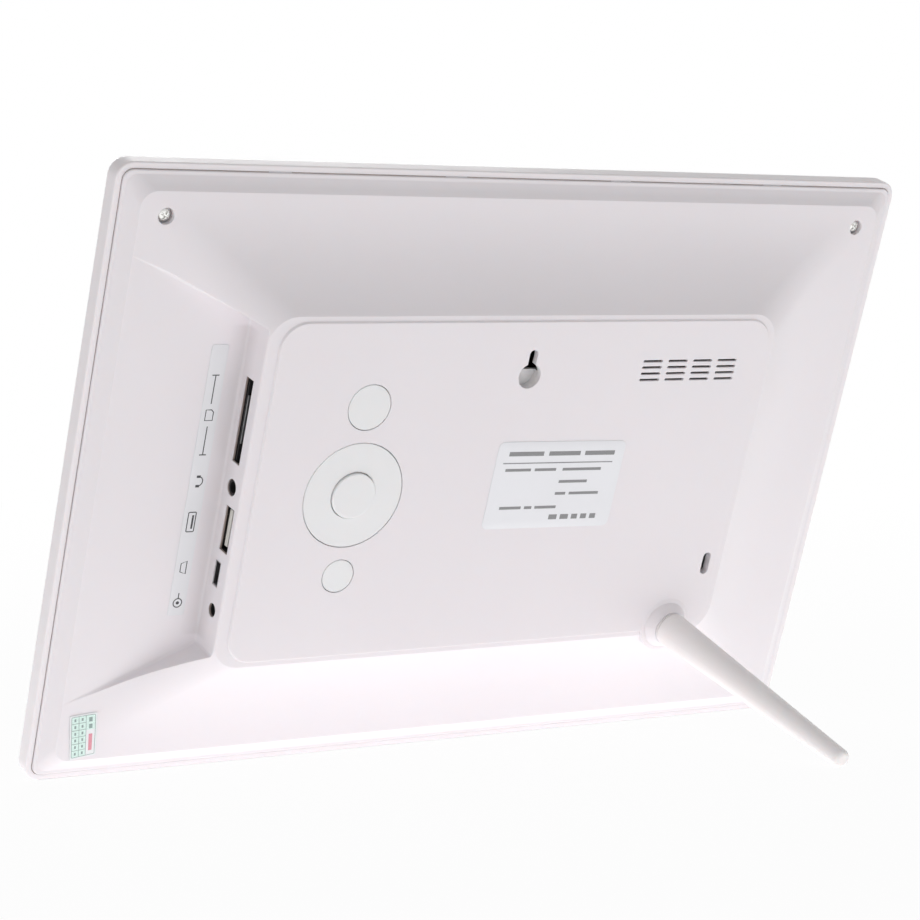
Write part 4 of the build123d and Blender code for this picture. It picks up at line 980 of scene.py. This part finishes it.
def makeCamera(setup):
    data = bpy.data.cameras.new("photoCamera")
    data.lens, data.sensor_width = setup["lens"], setup["sensor"]
    data.clip_start, data.clip_end = setup["clip"]
    camera = bpy.data.objects.new("photoCamera", data)
    bpy.context.scene.collection.objects.link(camera)
    right = Vector(np.array(setup["right"]) @ panelTurn).normalized()
    back = right.cross(Vector(np.array(setup["up"]) @ panelTurn)).normalized()
    turn = Matrix((right, back.cross(right), back)).transposed().to_4x4()
    camera.matrix_world = Matrix.Translation(toRow(setup["place"])) @ turn
    bpy.context.scene.camera = camera


makeCamera(cameraSetup)

# Studio: white surround, a light table under the part, a broad lamp before its screen
studio = {
    "sky": 0.425, "floorSize": 60.0, "floorColour": (0.88, 0.87, 0.88),
    "floorGlow": (0.96, 1.0), "glowReach": (0.25, 1.2),     # share of plain white, near and far off
    "lamps": [
        {"name": "lightTable", "place": (0.10, 0.45, 0.0001), "aim": (0.10, 0.45, 1.0),
         "size": 1.6, "power": 4.35, "spread": 180},
        {"name": "screenFill", "place": (-0.5, -1.6, 0.9), "aim": (0.0, 0.0, 0.09),
         "size": 1.4, "power": 13.0, "spread": 180},
    ],
}


plainWhite = (1, 1, 1, 1)


def seenDirectly(tree):
    # Camera, mirror and glass rays see the plain white surround
    path = put(tree, "ShaderNodeLightPath").outputs
    seen = calc(tree, "MAXIMUM", path["Is Camera Ray"], path["Is Glossy Ray"])
    return calc(tree, "MAXIMUM", seen, path["Is Transmission Ray"])


def makeWorld(setup):
    world = bpy.data.worlds.new("studioWorld")
    bpy.context.scene.world = world
    world.use_nodes = True
    tree = world.node_tree
    tree.nodes.clear()
    light, white = (put(tree, "ShaderNodeBackground", {"Color": plainWhite, "Strength": strength}).outputs[0]
                    for strength in (setup["sky"], 1.0))
    mixed = put(tree, "ShaderNodeMixShader", {0: seenDirectly(tree), 1: light, 2: white}).outputs[0]
    put(tree, "ShaderNodeOutputWorld", {"Surface": mixed})


def makeFloor(setup):
    half = setup["floorSize"] / 2
    u, v = np.meshgrid(np.linspace(-half, half, 3), np.linspace(-half, half, 3))
    mesh = bpy.data.meshes.new("studioFloor")
    corners = np.stack([u, v, np.zeros_like(u)], -1).reshape(-1, 3)
    mesh.from_pydata(corners.tolist(), [], gridQuads(3, 3).tolist())
    floor = bpy.data.objects.new("studioFloor", mesh)
    bpy.context.scene.collection.objects.link(floor)
    material = bpy.data.materials.new("studioFloor")
    material.use_nodes = True
    tree = material.node_tree
    tree.nodes.clear()
    matt = put(tree, "ShaderNodeBsdfDiffuse", {"Color": rgb(setup["floorColour"])}).outputs[0]
    glow = put(tree, "ShaderNodeEmission", {"Color": plainWhite, "Strength": 1.0}).outputs[0]
    where = put(tree, "ShaderNodeTexCoord").outputs["Object"]
    away = put(tree, "ShaderNodeVectorMath", {0: where}, operation="LENGTH").outputs["Value"]
    glowShare = ramp(tree, away, *setup["glowReach"], *setup["floorGlow"])
    share = calc(tree, "MULTIPLY", seenDirectly(tree), glowShare)
    mixed = put(tree, "ShaderNodeMixShader", {0: share, 1: matt, 2: glow}).outputs[0]
    put(tree, "ShaderNodeOutputMaterial", {"Surface": mixed})
    mesh.materials.append(material)


def makeLamp(spec):
    data = bpy.data.lights.new(spec["name"], "AREA")
    data.shape, data.size, data.energy = "DISK", spec["size"], spec["power"]
    data.spread = math.radians(spec["spread"])
    lamp = bpy.data.objects.new(spec["name"], data)
    bpy.context.scene.collection.objects.link(lamp)
    lamp.visible_camera = False
    lamp.location = spec["place"]
    ray = Vector(spec["aim"]) - Vector(spec["place"])
    lamp.rotation_euler = ray.to_track_quat("-Z", "Y").to_euler()


makeWorld(studio)
makeFloor(studio)
for lampSpec in studio["lamps"]:
    makeLamp(lampSpec)
bpy.context.scene.view_settings.view_transform = "Standard"
print("studio ready: lamps", len(studio["lamps"]))
